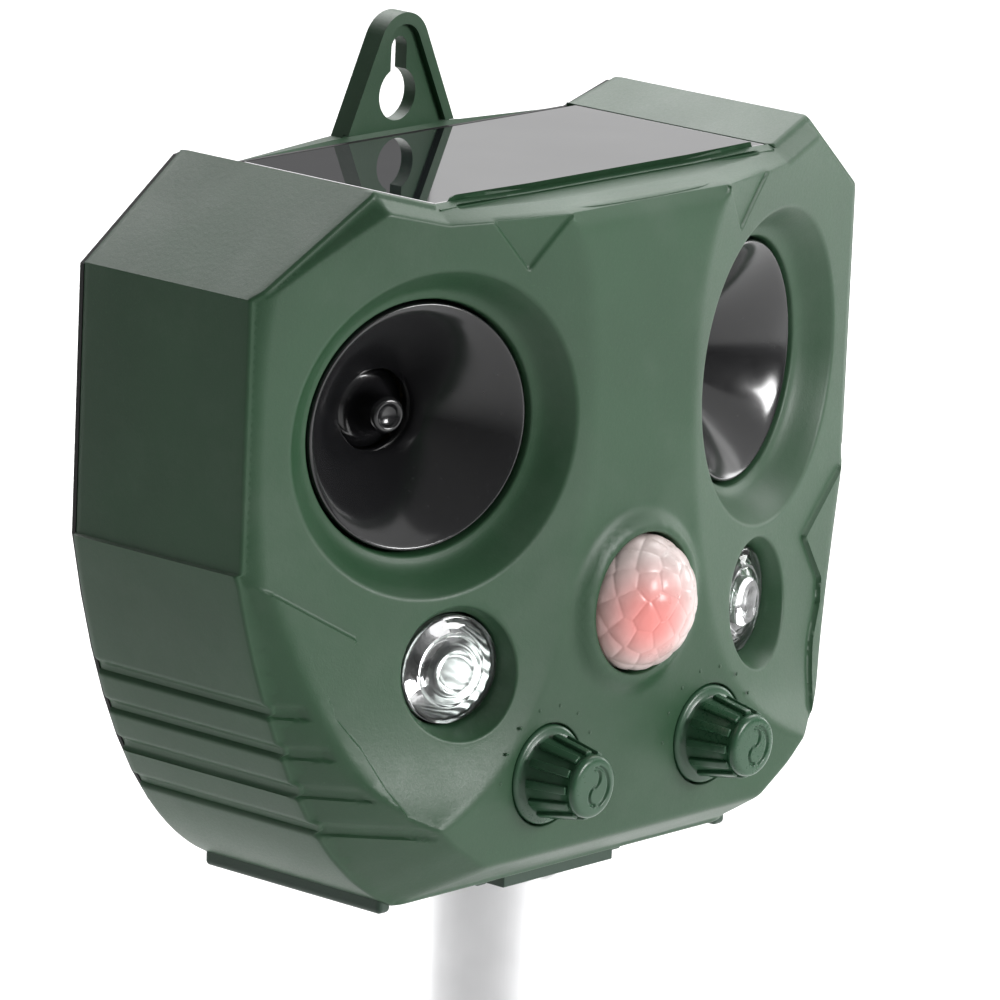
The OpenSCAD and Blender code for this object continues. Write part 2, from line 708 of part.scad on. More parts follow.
module knob_form() {
    ribs = 14;
    difference() {
        union() {
            translate([0, 0, knob_back_z]) cylinder(r = knob_flange_r, h = knob_well - slip + 0.6);
            translate([0, 0, 0.5]) cylinder(r1 = knob_r, r2 = knob_tip_r, h = knob_h - 0.5);
            intersection() {
                for (i = [0:ribs - 1]) rotate([0, 0, 360 * i / ribs]) translate([0, -0.45, 0.4])
                    cube([knob_r + 1, 0.9, knob_h - 1.2]);
                cylinder(r1 = knob_r + 0.6, r2 = knob_tip_r + 0.5, h = knob_h);
            }
        }
        translate([0, 0, knob_back_z - 1]) cylinder(r = shaft_r, h = knob_bore_l + 1);
        translate([0, 0, knob_h - 0.6]) difference() {
            translate([-0.5, 0.6, 0]) cube([1, knob_tip_r, 1]);
            translate([-1, -2, -1]) cube([2, 2.4, 3]);
        }
    }
}
module shaft_form() {
    translate([0, 0, control_seat_z - 4])
        cylinder(r = shaft_r, h = 4 - control_seat_z + knob_back_z + knob_bore_l);
}
module control_form() {
    pin_l = control_seat_z - control_l + body_d - board_front;
    difference() {
        union() {
            translate([0, 0, control_seat_z - control_l]) cylinder(r = control_r, h = control_l);
            translate([0, 0, control_seat_z - 0.01]) cylinder(r = bush_r, h = wall);
        }
        translate([0, 0, control_seat_z - 4.2]) cylinder(r = shaft_r + fit_gap, h = 10);
    }
    for (i = [-1:1]) translate([i * 4 - 0.5, -0.5, control_seat_z - control_l - pin_l]) cube([1, 1, pin_l]);
}
module frequency_knob() { color(dark_green) at_head() on_side(-1) at_knob() knob_form(); }
module sensitivity_knob() { color(dark_green) at_head() on_side(1) at_knob() knob_form(); }
module frequency_shaft() { color(silver) at_head() on_side(-1) at_knob() shaft_form(); }
module sensitivity_shaft() { color(silver) at_head() on_side(1) at_knob() shaft_form(); }
module frequency_control() { color(silver) at_head() on_side(-1) at_knob() control_form(); }
module sensitivity_control() { color(silver) at_head() on_side(1) at_knob() control_form(); }

module along_x(from, to) {
    translate([from, cell_y, cell_z]) rotate([0, 90, 0]) linear_extrude(to - from) children();
}
cell_half = cell_l / 2;
holder_half = cell_half + 2.5;
module battery_cell() {
    color("royalblue") at_head() {
        along_x(-cell_half, cell_half - 1) circle(r = cell_d / 2);
        along_x(cell_half - 1, cell_half) circle(r = 3);
    }
}
module battery_holder() {
    out_x = holder_half + holder_t;
    front_y = cell_y - cell_d / 2 - holder_t;
    half_h = cell_d / 2 + holder_t;
    rear_y = -1.2;
    color(black) at_head() difference() {
        translate([-out_x, front_y, cell_z - half_h]) cube([2 * out_x, rear_y - front_y, 2 * half_h]);
        along_x(-holder_half, holder_half) circle(r = cell_d / 2 + 0.1);
        translate([-holder_half, cell_y, cell_z - cell_d / 2 - 0.1])
            cube([2 * holder_half, 30, cell_d + 0.2]);
    }
}
module battery_contacts() {
    color("gold") at_head() for (s = [0, 1]) mirror([s, 0, 0]) {
        translate([holder_half - contact_t, cell_y - 5, cell_z - 5]) cube([contact_t, 10, 10]);
        along_x(cell_half, holder_half - contact_t + 0.01) difference() {
            circle(r = 3);
            circle(r = 2);
        }
    }
}
module battery_door() {
    color(green) at_head() difference() {
        front_prism(-back_y, door_t - back_y) translate([-door_w / 2, door_z - door_h / 2])
            square([door_w, door_h]);
        for (s = [-1, 1]) {
            front_prism(-back_y - 1, 1) translate([s * door_screw_x, door_z]) circle(r = screw_r + 0.2);
            front_prism(-back_y - 1, 1.8 - back_y) translate([s * door_screw_x, door_z])
                circle(r = screw_head_r + 0.2);
        }
    }
}
module door_screws() {
    color(silver) at_head() for (s = [-1, 1])
        translate([s * door_screw_x, back_y - 1.8, door_z]) rotate([-90, 0, 0]) screw(3);
}
module charge_socket() {
    mouth_y = back_y - cap_well - 0.2;
    color(silver) at_head() difference() {
        union() {
            translate([charge_x - charge_w / 2, -6.5, charge_z - charge_h / 2])
                cube([charge_w, mouth_y + 6.5, charge_h]);
            translate([charge_x - charge_w / 2 - 2, -0.4, charge_z - charge_h / 2 - 2])
                cube([charge_w + 4, gasket_t + 0.4, charge_h + 4]);
        }
        difference() {
            translate([charge_x - charge_w / 2 + 0.4, -5.5, charge_z - charge_h / 2 + 0.4])
                cube([charge_w - 0.8, 12, charge_h - 0.8]);
            translate([charge_x - charge_w / 2 + 1.5, -6, charge_z - 0.4])
                cube([charge_w - 3, mouth_y + 5, 0.8]);
        }
    }
}
module charge_cover() {
    color(black) at_head() translate([cap_axis_x, cap_axis_y, charge_z]) {
        translate([0, -cap_t / 2, -cap_h / 2]) cube([cap_w, cap_t, cap_h]);
        translate([0, 0, -cap_h / 2]) cylinder(r = cap_t / 2, h = cap_h);
        translate([0, 0, -cap_h / 2 - 1.4]) cylinder(r = cap_pin_r, h = cap_h + 2.8);
    }
}
module stake_bracket() {
    front_y = -rail_front - 2;
    rear_y = -2.4;
    spigot_r = tube_r - tube_wall - fit_gap;
    color(dark_green) at_head() {
        translate([-slot_x + slip, front_y + 2, chin_z + slip])
            cube([2 * (slot_x - slip), rear_y - front_y - 2, plate_top_z - chin_z - slip]);
        translate([-neck_x, front_y, plate_low_z]) cube([2 * neck_x, rear_y - front_y, plate_t]);
        translate([0, -tube_y, plate_low_z - 14]) difference() {
            cylinder(r = spigot_r, h = 14.01);
            translate([0, 0, -1]) cylinder(r = spigot_r - 1.8, h = 15);
        }
    }
}
module stake_tube() {
    color([0.85, 0.85, 0.87]) translate([0, 0, spike_flange_t]) difference() {
        cylinder(r = tube_r, h = tube_l);
        translate([0, 0, -1]) cylinder(r = tube_r - tube_wall, h = tube_l + 2);
    }
}
module ground_spike() {
    blade_t = 2.4;
    blade_x = tube_r - 1;
    color(dark_green) {
        cylinder(r = tube_r + 5.5, h = spike_flange_t);
        cylinder(r = tube_r - tube_wall - fit_gap, h = spike_flange_t + 14);
        for (a = [0, 90]) rotate([0, 0, a]) rotate([90, 0, 0]) linear_extrude(blade_t, center = true)
            polygon([[-blade_x, 0.1], [blade_x, 0.1], [blade_x - 2, -spike_l * 0.7],
                [0.6, -spike_l], [-0.6, -spike_l], [2 - blade_x, -spike_l * 0.7]]);
    }
}

front_housing();
rear_cover();
housing_gasket();
housing_screws();
solar_glass();
solar_cells();
solar_gasket();
left_horn();
right_horn();
left_horn_plug();
right_horn_plug();
left_driver_cap();
right_driver_cap();
left_piezo_disc();
right_piezo_disc();
horn_screws();
left_lamp_reflector();
right_lamp_reflector();
left_lamp_lens();
right_lamp_lens();
left_lamp_led();
right_lamp_led();
left_lamp_board();
right_lamp_board();
sensor_lens();
sensor_element();
sensor_light();
main_board();
board_screws();
frequency_knob();
sensitivity_knob();
frequency_shaft();
sensitivity_shaft();
frequency_control();
sensitivity_control();
battery_cell();
battery_holder();
battery_contacts();
battery_door();
door_screws();
charge_socket();
charge_cover();
stake_bracket();
stake_tube();
ground_spike();
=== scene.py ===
import json
import math

import bmesh
import bpy
import numpy as np
from mathutils import Matrix, Vector
from mathutils.geometry import delaunay_2d_cdt

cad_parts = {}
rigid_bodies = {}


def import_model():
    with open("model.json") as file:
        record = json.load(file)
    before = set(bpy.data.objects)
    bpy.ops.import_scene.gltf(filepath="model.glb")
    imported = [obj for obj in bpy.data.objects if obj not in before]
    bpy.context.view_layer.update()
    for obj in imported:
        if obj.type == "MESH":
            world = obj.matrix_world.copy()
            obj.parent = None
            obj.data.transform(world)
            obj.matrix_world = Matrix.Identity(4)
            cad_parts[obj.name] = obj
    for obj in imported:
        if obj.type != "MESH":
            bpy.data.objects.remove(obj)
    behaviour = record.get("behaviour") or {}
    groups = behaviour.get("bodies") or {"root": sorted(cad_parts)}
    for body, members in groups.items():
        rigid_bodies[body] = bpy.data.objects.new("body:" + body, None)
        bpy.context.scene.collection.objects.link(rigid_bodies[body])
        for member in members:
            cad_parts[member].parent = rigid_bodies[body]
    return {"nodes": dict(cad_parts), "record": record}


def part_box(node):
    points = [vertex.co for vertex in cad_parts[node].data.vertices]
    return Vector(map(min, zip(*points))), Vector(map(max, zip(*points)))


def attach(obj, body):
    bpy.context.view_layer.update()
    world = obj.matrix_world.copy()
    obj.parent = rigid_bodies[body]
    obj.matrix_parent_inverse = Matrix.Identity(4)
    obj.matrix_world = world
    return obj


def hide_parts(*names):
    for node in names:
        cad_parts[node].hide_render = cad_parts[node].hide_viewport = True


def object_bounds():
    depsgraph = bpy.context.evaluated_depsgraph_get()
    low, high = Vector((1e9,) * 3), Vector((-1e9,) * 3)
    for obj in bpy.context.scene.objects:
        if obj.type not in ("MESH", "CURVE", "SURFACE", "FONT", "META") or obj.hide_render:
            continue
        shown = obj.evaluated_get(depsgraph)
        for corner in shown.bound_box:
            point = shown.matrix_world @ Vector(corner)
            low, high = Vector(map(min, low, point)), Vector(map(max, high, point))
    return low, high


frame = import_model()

CAD_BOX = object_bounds()
MM = 0.001
SIDES = {"left": -1, "right": 1}

# Sizes of the head in millimetres, from its own datum: x to the right, y = 0 on the joint
# between the two half shells with the front towards -y, z = 0 near the bottom of the face.
# PROUD is how far the cheeks stand out, EDGE_R the round of the front's outer edge.
SIDE_X, BODY_D = 76.5, 56.2
EAR_X, EAR_Z, SHOULDER_Z = 54.0, 116.3, 100.2
CHEEK_Z, CHIN_X, CHIN_Z, CHIN_FACE_Z = 54.7, 41.5, -5.6, 2.6
TILT = math.radians(16.2)
SLOPE = math.tan(TILT)
SIDE_BEVEL_Y, BEVEL_W = -36.2, 3.3
PANEL_X, PANEL_Z, PANEL_FRONT, PANEL_BACK = 41.8, 113.0, -45.2, -2.1
HORN_X, HORN_Z, RECESS_R, MOUTH_R, MOUTH_DEPTH, HORN_DEPTH, THROAT_R = 42.0, 75.3, 27.3, 20.6, 5.5, 17.0, 7.0
LAMP_X, LAMP_Z, LAMP_R = 37.7, 35.2, 11.1
EYE_Z, DOME_R, DOME_H, EYE_RING_R, EYE_RING_H, EYE_HOLE_R = 42.5, 11.4, 9.0, 15.8, 2.0, 12.0
KNOB_X, KNOB_Z, KNOB_WELL_R, KNOB_FLANGE_R, KNOB_R, KNOB_TIP_R, KNOB_H = 20.3, 16.2, 8.7, 8.4, 6.9, 5.4, 10.4
GROOVE_LOW, GROOVE_PITCH, GROOVE_W, GROOVE_D = 9.2, 7.05, 2.3, 0.75
PROUD, EDGE_R, WALL = 0.85, 0.8, 1.6
EAR_EDGE_Y = -42.6

HEAD = Vector((0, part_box("front_housing")[1].y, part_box("front_housing")[1].z - EAR_Z * MM))


# ---------------------------------------------------------------- finishes

def add_node(tree, kind, settings=None, sockets=None):
    """A new node, with its settings made and its sockets linked or filled."""
    made = tree.nodes.new(kind)
    for key, value in (settings or {}).items():
        setattr(made, key, value)
    for key, value in (sockets or {}).items():
        value = value.socket if isinstance(value, Value) else value
        if isinstance(value, bpy.types.NodeSocket):
            tree.links.new(value, made.inputs[key])
        else:
            made.inputs[key].default_value = value
    return made


class Value:
    """A shader socket that arithmetic works on."""

    def __init__(self, finish, socket):
        self.finish = finish
        self.socket = socket

    def maths(self, operation, *others):
        return self.finish.node("ShaderNodeMath", {"operation": operation}, dict(enumerate((self,) + others)))

    def __add__(self, other):
        return self.maths("ADD", other)

    def __sub__(self, other):
        return self.maths("SUBTRACT", other)

    def __mul__(self, other):
        return self.maths("MULTIPLY", other)

    def __rsub__(self, other):
        return self * -1 + other

    __radd__ = __add__
    __rmul__ = __mul__


class Finish:
    """One material, made node by node."""

    def __init__(self, name):
        self.material = bpy.data.materials.new(name)
        self.material.use_nodes = True
        self.tree = self.material.node_tree
        self.tree.nodes.clear()
        self.place = self.node("ShaderNodeTexCoord", out="Object")

    def node(self, kind, settings=None, sockets=None, out=0):
        return Value(self, add_node(self.tree, kind, settings, sockets).outputs[out])

    def noise(self, scale, detail=2.0, rough=0.5, place=None):
        return self.node("ShaderNodeTexNoise", None, {
            "Vector": place or self.place, "Scale": scale, "Detail": detail, "Roughness": rough})

    def cells(self, scale, feature="F1", out="Distance"):
        return self.node("ShaderNodeTexVoronoi", {"feature": feature}, {
            "Vector": self.place, "Scale": scale}, out)

    def band(self, value, low, high):
        """0 below low, 1 above high, smooth between."""
        return self.node("ShaderNodeMapRange", {"interpolation_type": "SMOOTHSTEP"}, {
            "Value": value, "From Min": low, "From Max": high})

    def mix(self, factor, a, b):
        return self.node("ShaderNodeMix", {"data_type": "RGBA"}, {0: factor, 6: a, 7: b}, 2)

    def shifted(self, offset, scale=(1, 1, 1)):
        return self.node("ShaderNodeMapping", None, {
            "Vector": self.place, "Location": offset, "Scale": scale})

    def along(self, axis, place=None):
        return self.node("ShaderNodeSeparateXYZ", None, {0: place or self.place}, axis)

    def bump(self, height, distance):
        return self.node("ShaderNodeBump", None, {"Height": height, "Distance": distance, "Strength": 1.0})

    def surface(self, **sockets):
        named = {key.replace("_", " "): value for key, value in sockets.items()}
        shader = self.node("ShaderNodeBsdfPrincipled", None, named)
        end = self.tree.nodes.new("ShaderNodeOutputMaterial")
        self.tree.links.new(shader.socket, end.inputs["Surface"])
        return self.material


def rgb(red, green, blue):
    return (red, green, blue, 1)


def shade(colour, by):
    """A colour made darker or lighter."""
    return tuple(c * by for c in colour[:3]) + (1,)


def moulded_plastic(name, colour, rough, grain=0.00035, grain_depth=0.000018, dusty=0.25):
    """Injection-moulded plastic: spark-eroded grain, slight flow marks and a thin bloom of dust."""
    f = Finish(name)
    grain_height = f.noise(1 / grain, 3, 0.6)
    flow = f.noise(22, 3, 0.55)
    specks = f.noise(2600, 1, 0.5)
    bloom = f.noise(60, 4, 0.6)
    tone = f.mix(f.band(flow, 0.3, 0.7), shade(colour, 0.90), shade(colour, 1.12))
    pale = tuple(0.75 * c + 0.25 * g for c, g in zip(colour[:3], (0.22, 0.25, 0.22))) + (1,)
    tone = f.mix(f.band(bloom, 0.45, 0.75) * dusty, tone, pale)
    tone = f.mix(f.band(specks, 0.62, 0.8) * 0.35, tone, shade(colour, 1.6))
    return f.surface(
        Base_Color=tone,
        Roughness=f.band(bloom, 0.2, 0.8) * 0.08 + f.band(grain_height, 0.3, 0.7) * 0.06 + (rough - 0.07),
        IOR=1.5,
        Normal=f.bump(grain_height + f.noise(0.35 / grain, 2, 0.5), grain_depth))


def black_horn():
    """Glossy black moulding with a little dust."""
    f = Finish("horn_black")
    swirl = f.noise(180, 3, 0.5)
    dust = f.noise(1500, 1, 0.5)
    tone = f.mix(f.band(dust, 0.68, 0.8) * 0.3, rgb(0.010, 0.010, 0.011), rgb(0.05, 0.05, 0.05))
    return f.surface(
        Base_Color=tone, Roughness=f.band(swirl, 0.3, 0.7) * 0.05 + 0.14, IOR=1.62,
        Normal=f.bump(f.noise(90, 2, 0.5), 0.00006))


def rubber():
    """Matt black seal rubber."""
    f = Finish("seal_rubber")
    return f.surface(
        Base_Color=f.mix(f.noise(300), rgb(0.012, 0.012, 0.012), rgb(0.03, 0.03, 0.03)),
        Roughness=f.noise(900) * 0.15 + 0.65, Normal=f.bump(f.noise(2500), 0.00002))


def turned_metal(name, colour, rough, along=(1, 1, 1), brush=0.00001):
    """Metal with fine drawing or turning lines along the axis that is scaled down."""
    f = Finish(name)
    lines = f.noise(3000, 2, 0.6, f.shifted((0, 0, 0), along))
    wear = f.noise(45, 3, 0.55)
    tone = f.mix(f.band(wear, 0.35, 0.7), shade(colour, 0.9), colour)
    return f.surface(
        Base_Color=tone, Metallic=1.0,
        Roughness=lines * 0.12 + f.band(wear, 0.3, 0.8) * 0.06 + (rough - 0.09),
        Normal=f.bump(lines, brush))


def solar_cell():
    """Dark blue-black wafers with fine silver fingers across and bus bars along."""
    f = Finish("solar_cell")
    x = f.along(0)
    finger = x.maths("PINGPONG", 0.0008)
    bus = (f.along(1) + 0.004).maths("PINGPONG", 0.007)
    gap = x.maths("PINGPONG", 0.0069)
    crystal = f.cells(260, out="Color")
    wafer = f.mix(f.along(0, crystal) * 0.4, rgb(0.012, 0.014, 0.03), rgb(0.03, 0.034, 0.06))
    tone = f.mix(1 - f.band(finger, 0.00003, 0.00008), wafer, rgb(0.25, 0.25, 0.26))
    tone = f.mix(1 - f.band(bus, 0.00025, 0.0004), tone, rgb(0.45, 0.45, 0.46))
    tone = f.mix(1 - f.band(gap, 0.0002, 0.0003), tone, rgb(0.01, 0.01, 0.012))
    return f.surface(Base_Color=tone, Roughness=f.noise(500) * 0.1 + 0.3, Metallic=0.2)


def panel_glass():
    """Dark encapsulated glass: nearly black below, a clean mirror on top."""
    f = Finish("panel_glass")
    finger = f.along(0).maths("PINGPONG", 0.0008)
    smear = f.noise(30, 3, 0.5)
    tone = f.mix(1 - f.band(finger, 0.00003, 0.00009), rgb(0.014, 0.014, 0.018), rgb(0.03, 0.03, 0.033))
    return f.surface(
        Base_Color=tone, Roughness=f.band(smear, 0.35, 0.75) * 0.03 + 0.025, IOR=1.6,
        Coat_Weight=f.band(smear, 0.1, 0.9) * 0.2 + 0.8, Coat_Roughness=0.02, Coat_IOR=1.6)


def milky_dome():
    """Milky polythene lens, with painted light: the pink glow of the alarm light behind it is a pink spot in
    its colour that also emits light.
    """
    f = Finish("sensor_milky")
    centre = f.shifted((4.6 * MM, -(HEAD.y - 63.4 * MM), -(HEAD.z + 41.6 * MM)))
    far = f.node("ShaderNodeVectorMath", {"operation": "LENGTH"}, {0: centre}, "Value")
    # Painted glow: a pink spot in the base colour and a red emission stand in for the alarm light shining
    # through the milky dome.
    painted_glow = 1 - f.band(far, 0.0005, 0.0115)
    cloud = f.noise(300, 3, 0.5)
    milk = f.mix(f.band(cloud, 0.3, 0.7), rgb(0.58, 0.48, 0.46), rgb(0.68, 0.57, 0.55))
    tone = f.mix(painted_glow * 0.8, milk, rgb(0.66, 0.17, 0.15))
    light = f.mix(painted_glow, rgb(0.0, 0.0, 0.0), rgb(0.85, 0.10, 0.08))
    return f.surface(
        Base_Color=tone, Roughness=f.band(cloud, 0.2, 0.8) * 0.08 + 0.26, IOR=1.46,
        Emission_Color=light, Emission_Strength=0.24,
        Normal=f.bump(f.noise(2400), 0.000006))


def lamp_clear():
    """Clear polished lens plastic."""
    f = Finish("lamp_clear")
    return f.surface(
        Base_Color=f.mix(f.noise(120), rgb(0.96, 0.97, 0.98), rgb(1, 1, 1)),
        Roughness=f.noise(400) * 0.03 + 0.02, IOR=1.45, Transmission_Weight=1.0,
        Normal=f.bump(f.noise(600), 0.000008))


def lamp_light():
    """The lit white chip of a lamp."""
    f = Finish("lamp_white")
    die = f.noise(900)
    tone = f.mix(die, rgb(0.95, 0.97, 1.0), rgb(1, 1, 0.97))
    return f.surface(Base_Color=tone, Roughness=die * 0.1 + 0.3, Emission_Color=tone, Emission_Strength=24.0)


def red_light():
    """The lit red alarm light behind the dome."""
    f = Finish("light_red")
    die = f.noise(700)
    return f.surface(
        Base_Color=f.mix(die, rgb(0.6, 0.02, 0.02), rgb(0.7, 0.05, 0.04)), Roughness=die * 0.1 + 0.25,
        Emission_Color=f.mix(die, rgb(0.8, 0.03, 0.02), rgb(1, 0.06, 0.04)), Emission_Strength=1.5)


def circuit_board():
    """Green solder mask with copper tracks under it and tinned pads."""
    f = Finish("board_green")
    tracks = f.cells(420, "DISTANCE_TO_EDGE")
    pads = f.cells(260)
    tone = f.mix(1 - f.band(tracks, 0.03, 0.06), rgb(0.01, 0.09, 0.035), rgb(0.03, 0.2, 0.07))
    tone = f.mix(1 - f.band(pads, 0.12, 0.16), tone, rgb(0.6, 0.58, 0.5))
    return f.surface(Base_Color=tone, Roughness=f.noise(700) * 0.15 + 0.3, Normal=f.bump(tracks, 0.00002))


def cell_wrap():
    """Shrink wrap of the battery cell, blue with a bare end."""
    f = Finish("cell_wrap")
    x = f.along(0)
    tone = f.mix(f.band(x, 0.020, 0.0203), rgb(0.05, 0.2, 0.45), rgb(0.75, 0.75, 0.75))
    tone = f.mix(f.noise(200) * 0.3, tone, rgb(0.02, 0.05, 0.1))
    return f.surface(
        Base_Color=tone, Roughness=f.noise(300) * 0.1 + 0.25, Normal=f.bump(f.noise(150), 0.00003))


HOUSING_GREEN = rgb(0.018, 0.062, 0.026)
FINISHES = {
    "housing_green": moulded_plastic("housing_green", HOUSING_GREEN, 0.46),
    "knob_green": moulded_plastic("knob_green", rgb(0.024, 0.078, 0.038), 0.3, 0.0005, 0.000006, 0.1),
    "bracket_green": moulded_plastic("bracket_green", rgb(0.014, 0.040, 0.023), 0.42, 0.0005, 0.00001, 0.1),
    "inner_black": moulded_plastic("inner_black", rgb(0.012, 0.012, 0.012), 0.5, 0.0004, 0.00001, 0.05),
    "horn_black": black_horn(),
    "seal_rubber": rubber(),
    "screw_steel": turned_metal("screw_steel", rgb(0.62, 0.61, 0.60), 0.3),
    "piezo_brass": turned_metal("piezo_brass", rgb(0.72, 0.52, 0.2), 0.3),
    "lamp_mirror": turned_metal("lamp_mirror", rgb(0.13, 0.14, 0.135), 0.34, (1, 1, 1), 0.000002),
    "tube_aluminium": turned_metal("tube_aluminium", rgb(0.86, 0.86, 0.87), 0.36, (1, 1, 0.02)),
    "solar_cell": solar_cell(),
    "panel_glass": panel_glass(),
    "sensor_milky": milky_dome(),
    "lamp_clear": lamp_clear(),
    "lamp_white": lamp_light(),
    "light_red": red_light(),
    "board_green": circuit_board(),
    "cell_wrap": cell_wrap(),
}


# ---------------------------------------------------------------- making meshes

def in_place(points):
    """Points in the head's own millimetres, put where the head stands, in metres."""
    return np.asarray(points, dtype=float) * MM + np.array(HEAD)


def linked(name, data):
    """A new object in the scene."""
    obj = bpy.data.objects.new(name, data)
    bpy.context.scene.collection.objects.link(obj)
    return obj


def piece(name, points, faces, body, slot, smooth=True, replaced=()):
    """A finished object from points in metres and faces."""
    mesh = bpy.data.meshes.new(name)
    mesh.from_pydata([tuple(p) for p in points], [], [tuple(int(i) for i in f) for f in faces])
    mesh.validate()
    return dress(name, mesh, body, slot, smooth, replaced)


def dress(name, mesh, body, slot, smooth=True, replaced=()):
    """A mesh made a finished object on its body, in place of the named parts."""
    mesh.materials.clear()
    mesh.materials.append(FINISHES[slot])
    obj = linked(name, mesh)
    mesh.shade_smooth() if smooth else mesh.shade_flat()
    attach(obj, body)
    if replaced:
        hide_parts(*replaced)
    return obj


def sharp_by_angle(mesh, degrees):
    """Smooth faces, with edges sharper than that kept crisp."""
    mesh.shade_smooth()
    mesh.set_sharp_from_angle(angle=math.radians(degrees))


def applied(obj):
    """Takes the modifiers into the mesh."""
    graph = bpy.context.evaluated_depsgraph_get()
    mesh = bpy.data.meshes.new_from_object(obj.evaluated_get(graph))
    obj.modifiers.clear()
    obj.data = mesh
    return obj


def rounded(obj, width, segments=3, **settings):
    """Rounds an object's edges over by width millimetres."""
    rounding = obj.modifiers.new("rounding", "BEVEL")
    rounding.width = width * MM
    rounding.segments = segments
    for key, value in settings.items():
        setattr(rounding, key, value)
    applied(obj)


def softened(node, body, slot, width, shape=None):
    """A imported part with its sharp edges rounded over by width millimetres."""
    mesh = frame["nodes"][node].data.copy()
    build = bmesh.new()
    build.from_mesh(mesh)
    bmesh.ops.remove_doubles(build, verts=build.verts, dist=0.00001)
    if shape:
        shape(build)
    bmesh.ops.dissolve_limit(
        build, angle_limit=math.radians(0.5), verts=build.verts, edges=build.edges, delimit={"NORMAL"})
    build.to_mesh(mesh)
    build.free()
    obj = dress(node + "_moulded", mesh, body, slot, True, (node,))
    rounded(obj, width, limit_method="ANGLE", angle_limit=math.radians(28), miter_outer="MITER_ARC")
    sharp_by_angle(obj.data, 38)
    flats = obj.modifiers.new("flats", "WEIGHTED_NORMAL")
    flats.weight = 100
    flats.keep_sharp = True
    return applied(obj)


def lathe(profile, turns=96, closed=True):
    """Points and faces of a profile of (radius, height), turned about +z. Ends at radius 0 are closed."""
    points, faces, rows = [], [], []
    for radius, height in profile:
        if radius < 1e-6:
            rows.append([len(points)])
            points.append((0, 0, height))
            continue
        rows.append(list(range(len(points), len(points) + turns)))
        for i in range(turns):
            a = 2 * math.pi * i / turns
            points.append((radius * math.cos(a), radius * math.sin(a), height))
    pairs = list(zip(rows, rows[1:])) + ([(rows[-1], rows[0])] if closed else [])
    for low, high in pairs:
        if len(low) == 1 and len(high) == 1:
            continue
        for i in range(turns):
            j = (i + 1) % turns
            face = [low[i % len(low)], low[j % len(low)], high[j % len(high)], high[i % len(high)]]
            faces.append([v for k, v in enumerate(face) if v not in face[:k]])
    return np.array(points), faces


def joined(*parts):
    """One set of points and faces from several."""
    points, faces, base = [], [], 0
    for some, more in parts:
        points.append(np.asarray(some, dtype=float))
        faces += [[i + base for i in f] for f in more]
        base += len(some)
    return np.vstack(points), faces


def outward(points, faces):
    """The same closed shape with every face pointing out."""
    build = bmesh.new()
    verts = [build.verts.new(p) for p in points]
    for f in faces:
        build.faces.new([verts[i] for i in f])
    build.verts.index_update()
    bmesh.ops.recalc_face_normals(build, faces=build.faces)
    new = [[v.index for v in f.verts] for f in build.faces]
    build.free()
    return points, new


def facing(x, y, z, turn):
    """Moves points from a part's own frame, +z out of the front, to the head's."""
    c, s = math.cos(turn), math.sin(turn)
    spin = np.array([[c, 0, s], [s, 0, -c], [0, 1, 0]])
    origin = np.array([x, y, z])
    return lambda points: np.asarray(points) @ spin.T + origin


def fillet(corner, before, after, r, steps=4):
    """Round points in place of one corner of a profile."""
    corner, before, after = (np.array(p, dtype=float) for p in (corner, before, after))
    a = corner + (before - corner) / np.linalg.norm(before - corner) * r
    b = corner + (after - corner) / np.linalg.norm(after - corner) * r
    out = []
    for t in np.linspace(0, 1, steps + 1):
        out.append(tuple(a * (1 - t) ** 2 + corner * 2 * t * (1 - t) + b * t * t))
    return out


# ---------------------------------------------------------------- front housing

def bezier(a, b, c, t):
    """The point at t on the curve from a to c that is drawn towards b."""
    return tuple(p * (1 - t) ** 2 + q * 2 * t * (1 - t) + r * t * t for p, q, r in zip(a, b, c))


def soft_max(a, b, k):
    """The larger of two heights, blended where they are within k."""
    h = np.maximum(k - np.abs(a - b), 0) / k
    return np.maximum(a, b) + h * h * k / 4


def soft_min(a, b, k):
    return -soft_max(-a, -b, k)


def step(value, low, high):
    """0 below low, 1 above high, smooth between."""
    t = np.clip((value - low) / (high - low), 0, 1)
    return t * t * (3 - 2 * t)


def crease_x(z):
    """Where the flat middle of the face ends and the flank begins, at each height."""
    z = np.asarray(z, dtype=float)
    up = np.maximum(z - 76, 0) / 32
    down = np.maximum(76 - z, 0)
    return 13 + 5.5 * up ** 3 + 2.9 * (down / 26) ** 2 + 3.2 * (down / 54) ** 8.5


def flank_y(x, z):
    """The tilted flank on each side of the flat face, before anything is pressed into it."""
    over = np.abs(x) - crease_x(z)
    return -BODY_D + SLOPE * soft_max(over, np.zeros_like(over), 1.2)


def jaw(t):
    """The curved lower side of the front view."""
    return bezier((SIDE_X, CHEEK_Z), (66, 5), (CHIN_X, CHIN_Z), t)


def mask_edge(t):
    """The curved line where the cheek meets the side bevel."""
    return bezier((72, 51.9), (67.4, 20.5), (48.4, 10.3), t)


def plane(p, q, r):
    """a, b, c of the plane y = a x + b z + c through three points (x, y, z)."""
    rows = np.array([[v[0], v[2], 1] for v in (p, q, r)], dtype=float)
    return np.linalg.solve(rows, np.array([v[1] for v in (p, q, r)], dtype=float))


def on_plane(fit, x, z):
    """Depth of a plane, mirrored to both sides."""
    return fit[0] * np.abs(x) + fit[1] * z + fit[2]


def side_edge(t):
    """The bevel's edge on the side, along the jaw."""
    x, z = jaw(t)
    return (x, SIDE_BEVEL_Y - 5 * t, z)


def cheek_edge(t):
    """The bevel's edge on the flank, along the cheek."""
    x, z = mask_edge(t)
    return (x, float(flank_y(x, z)), z)


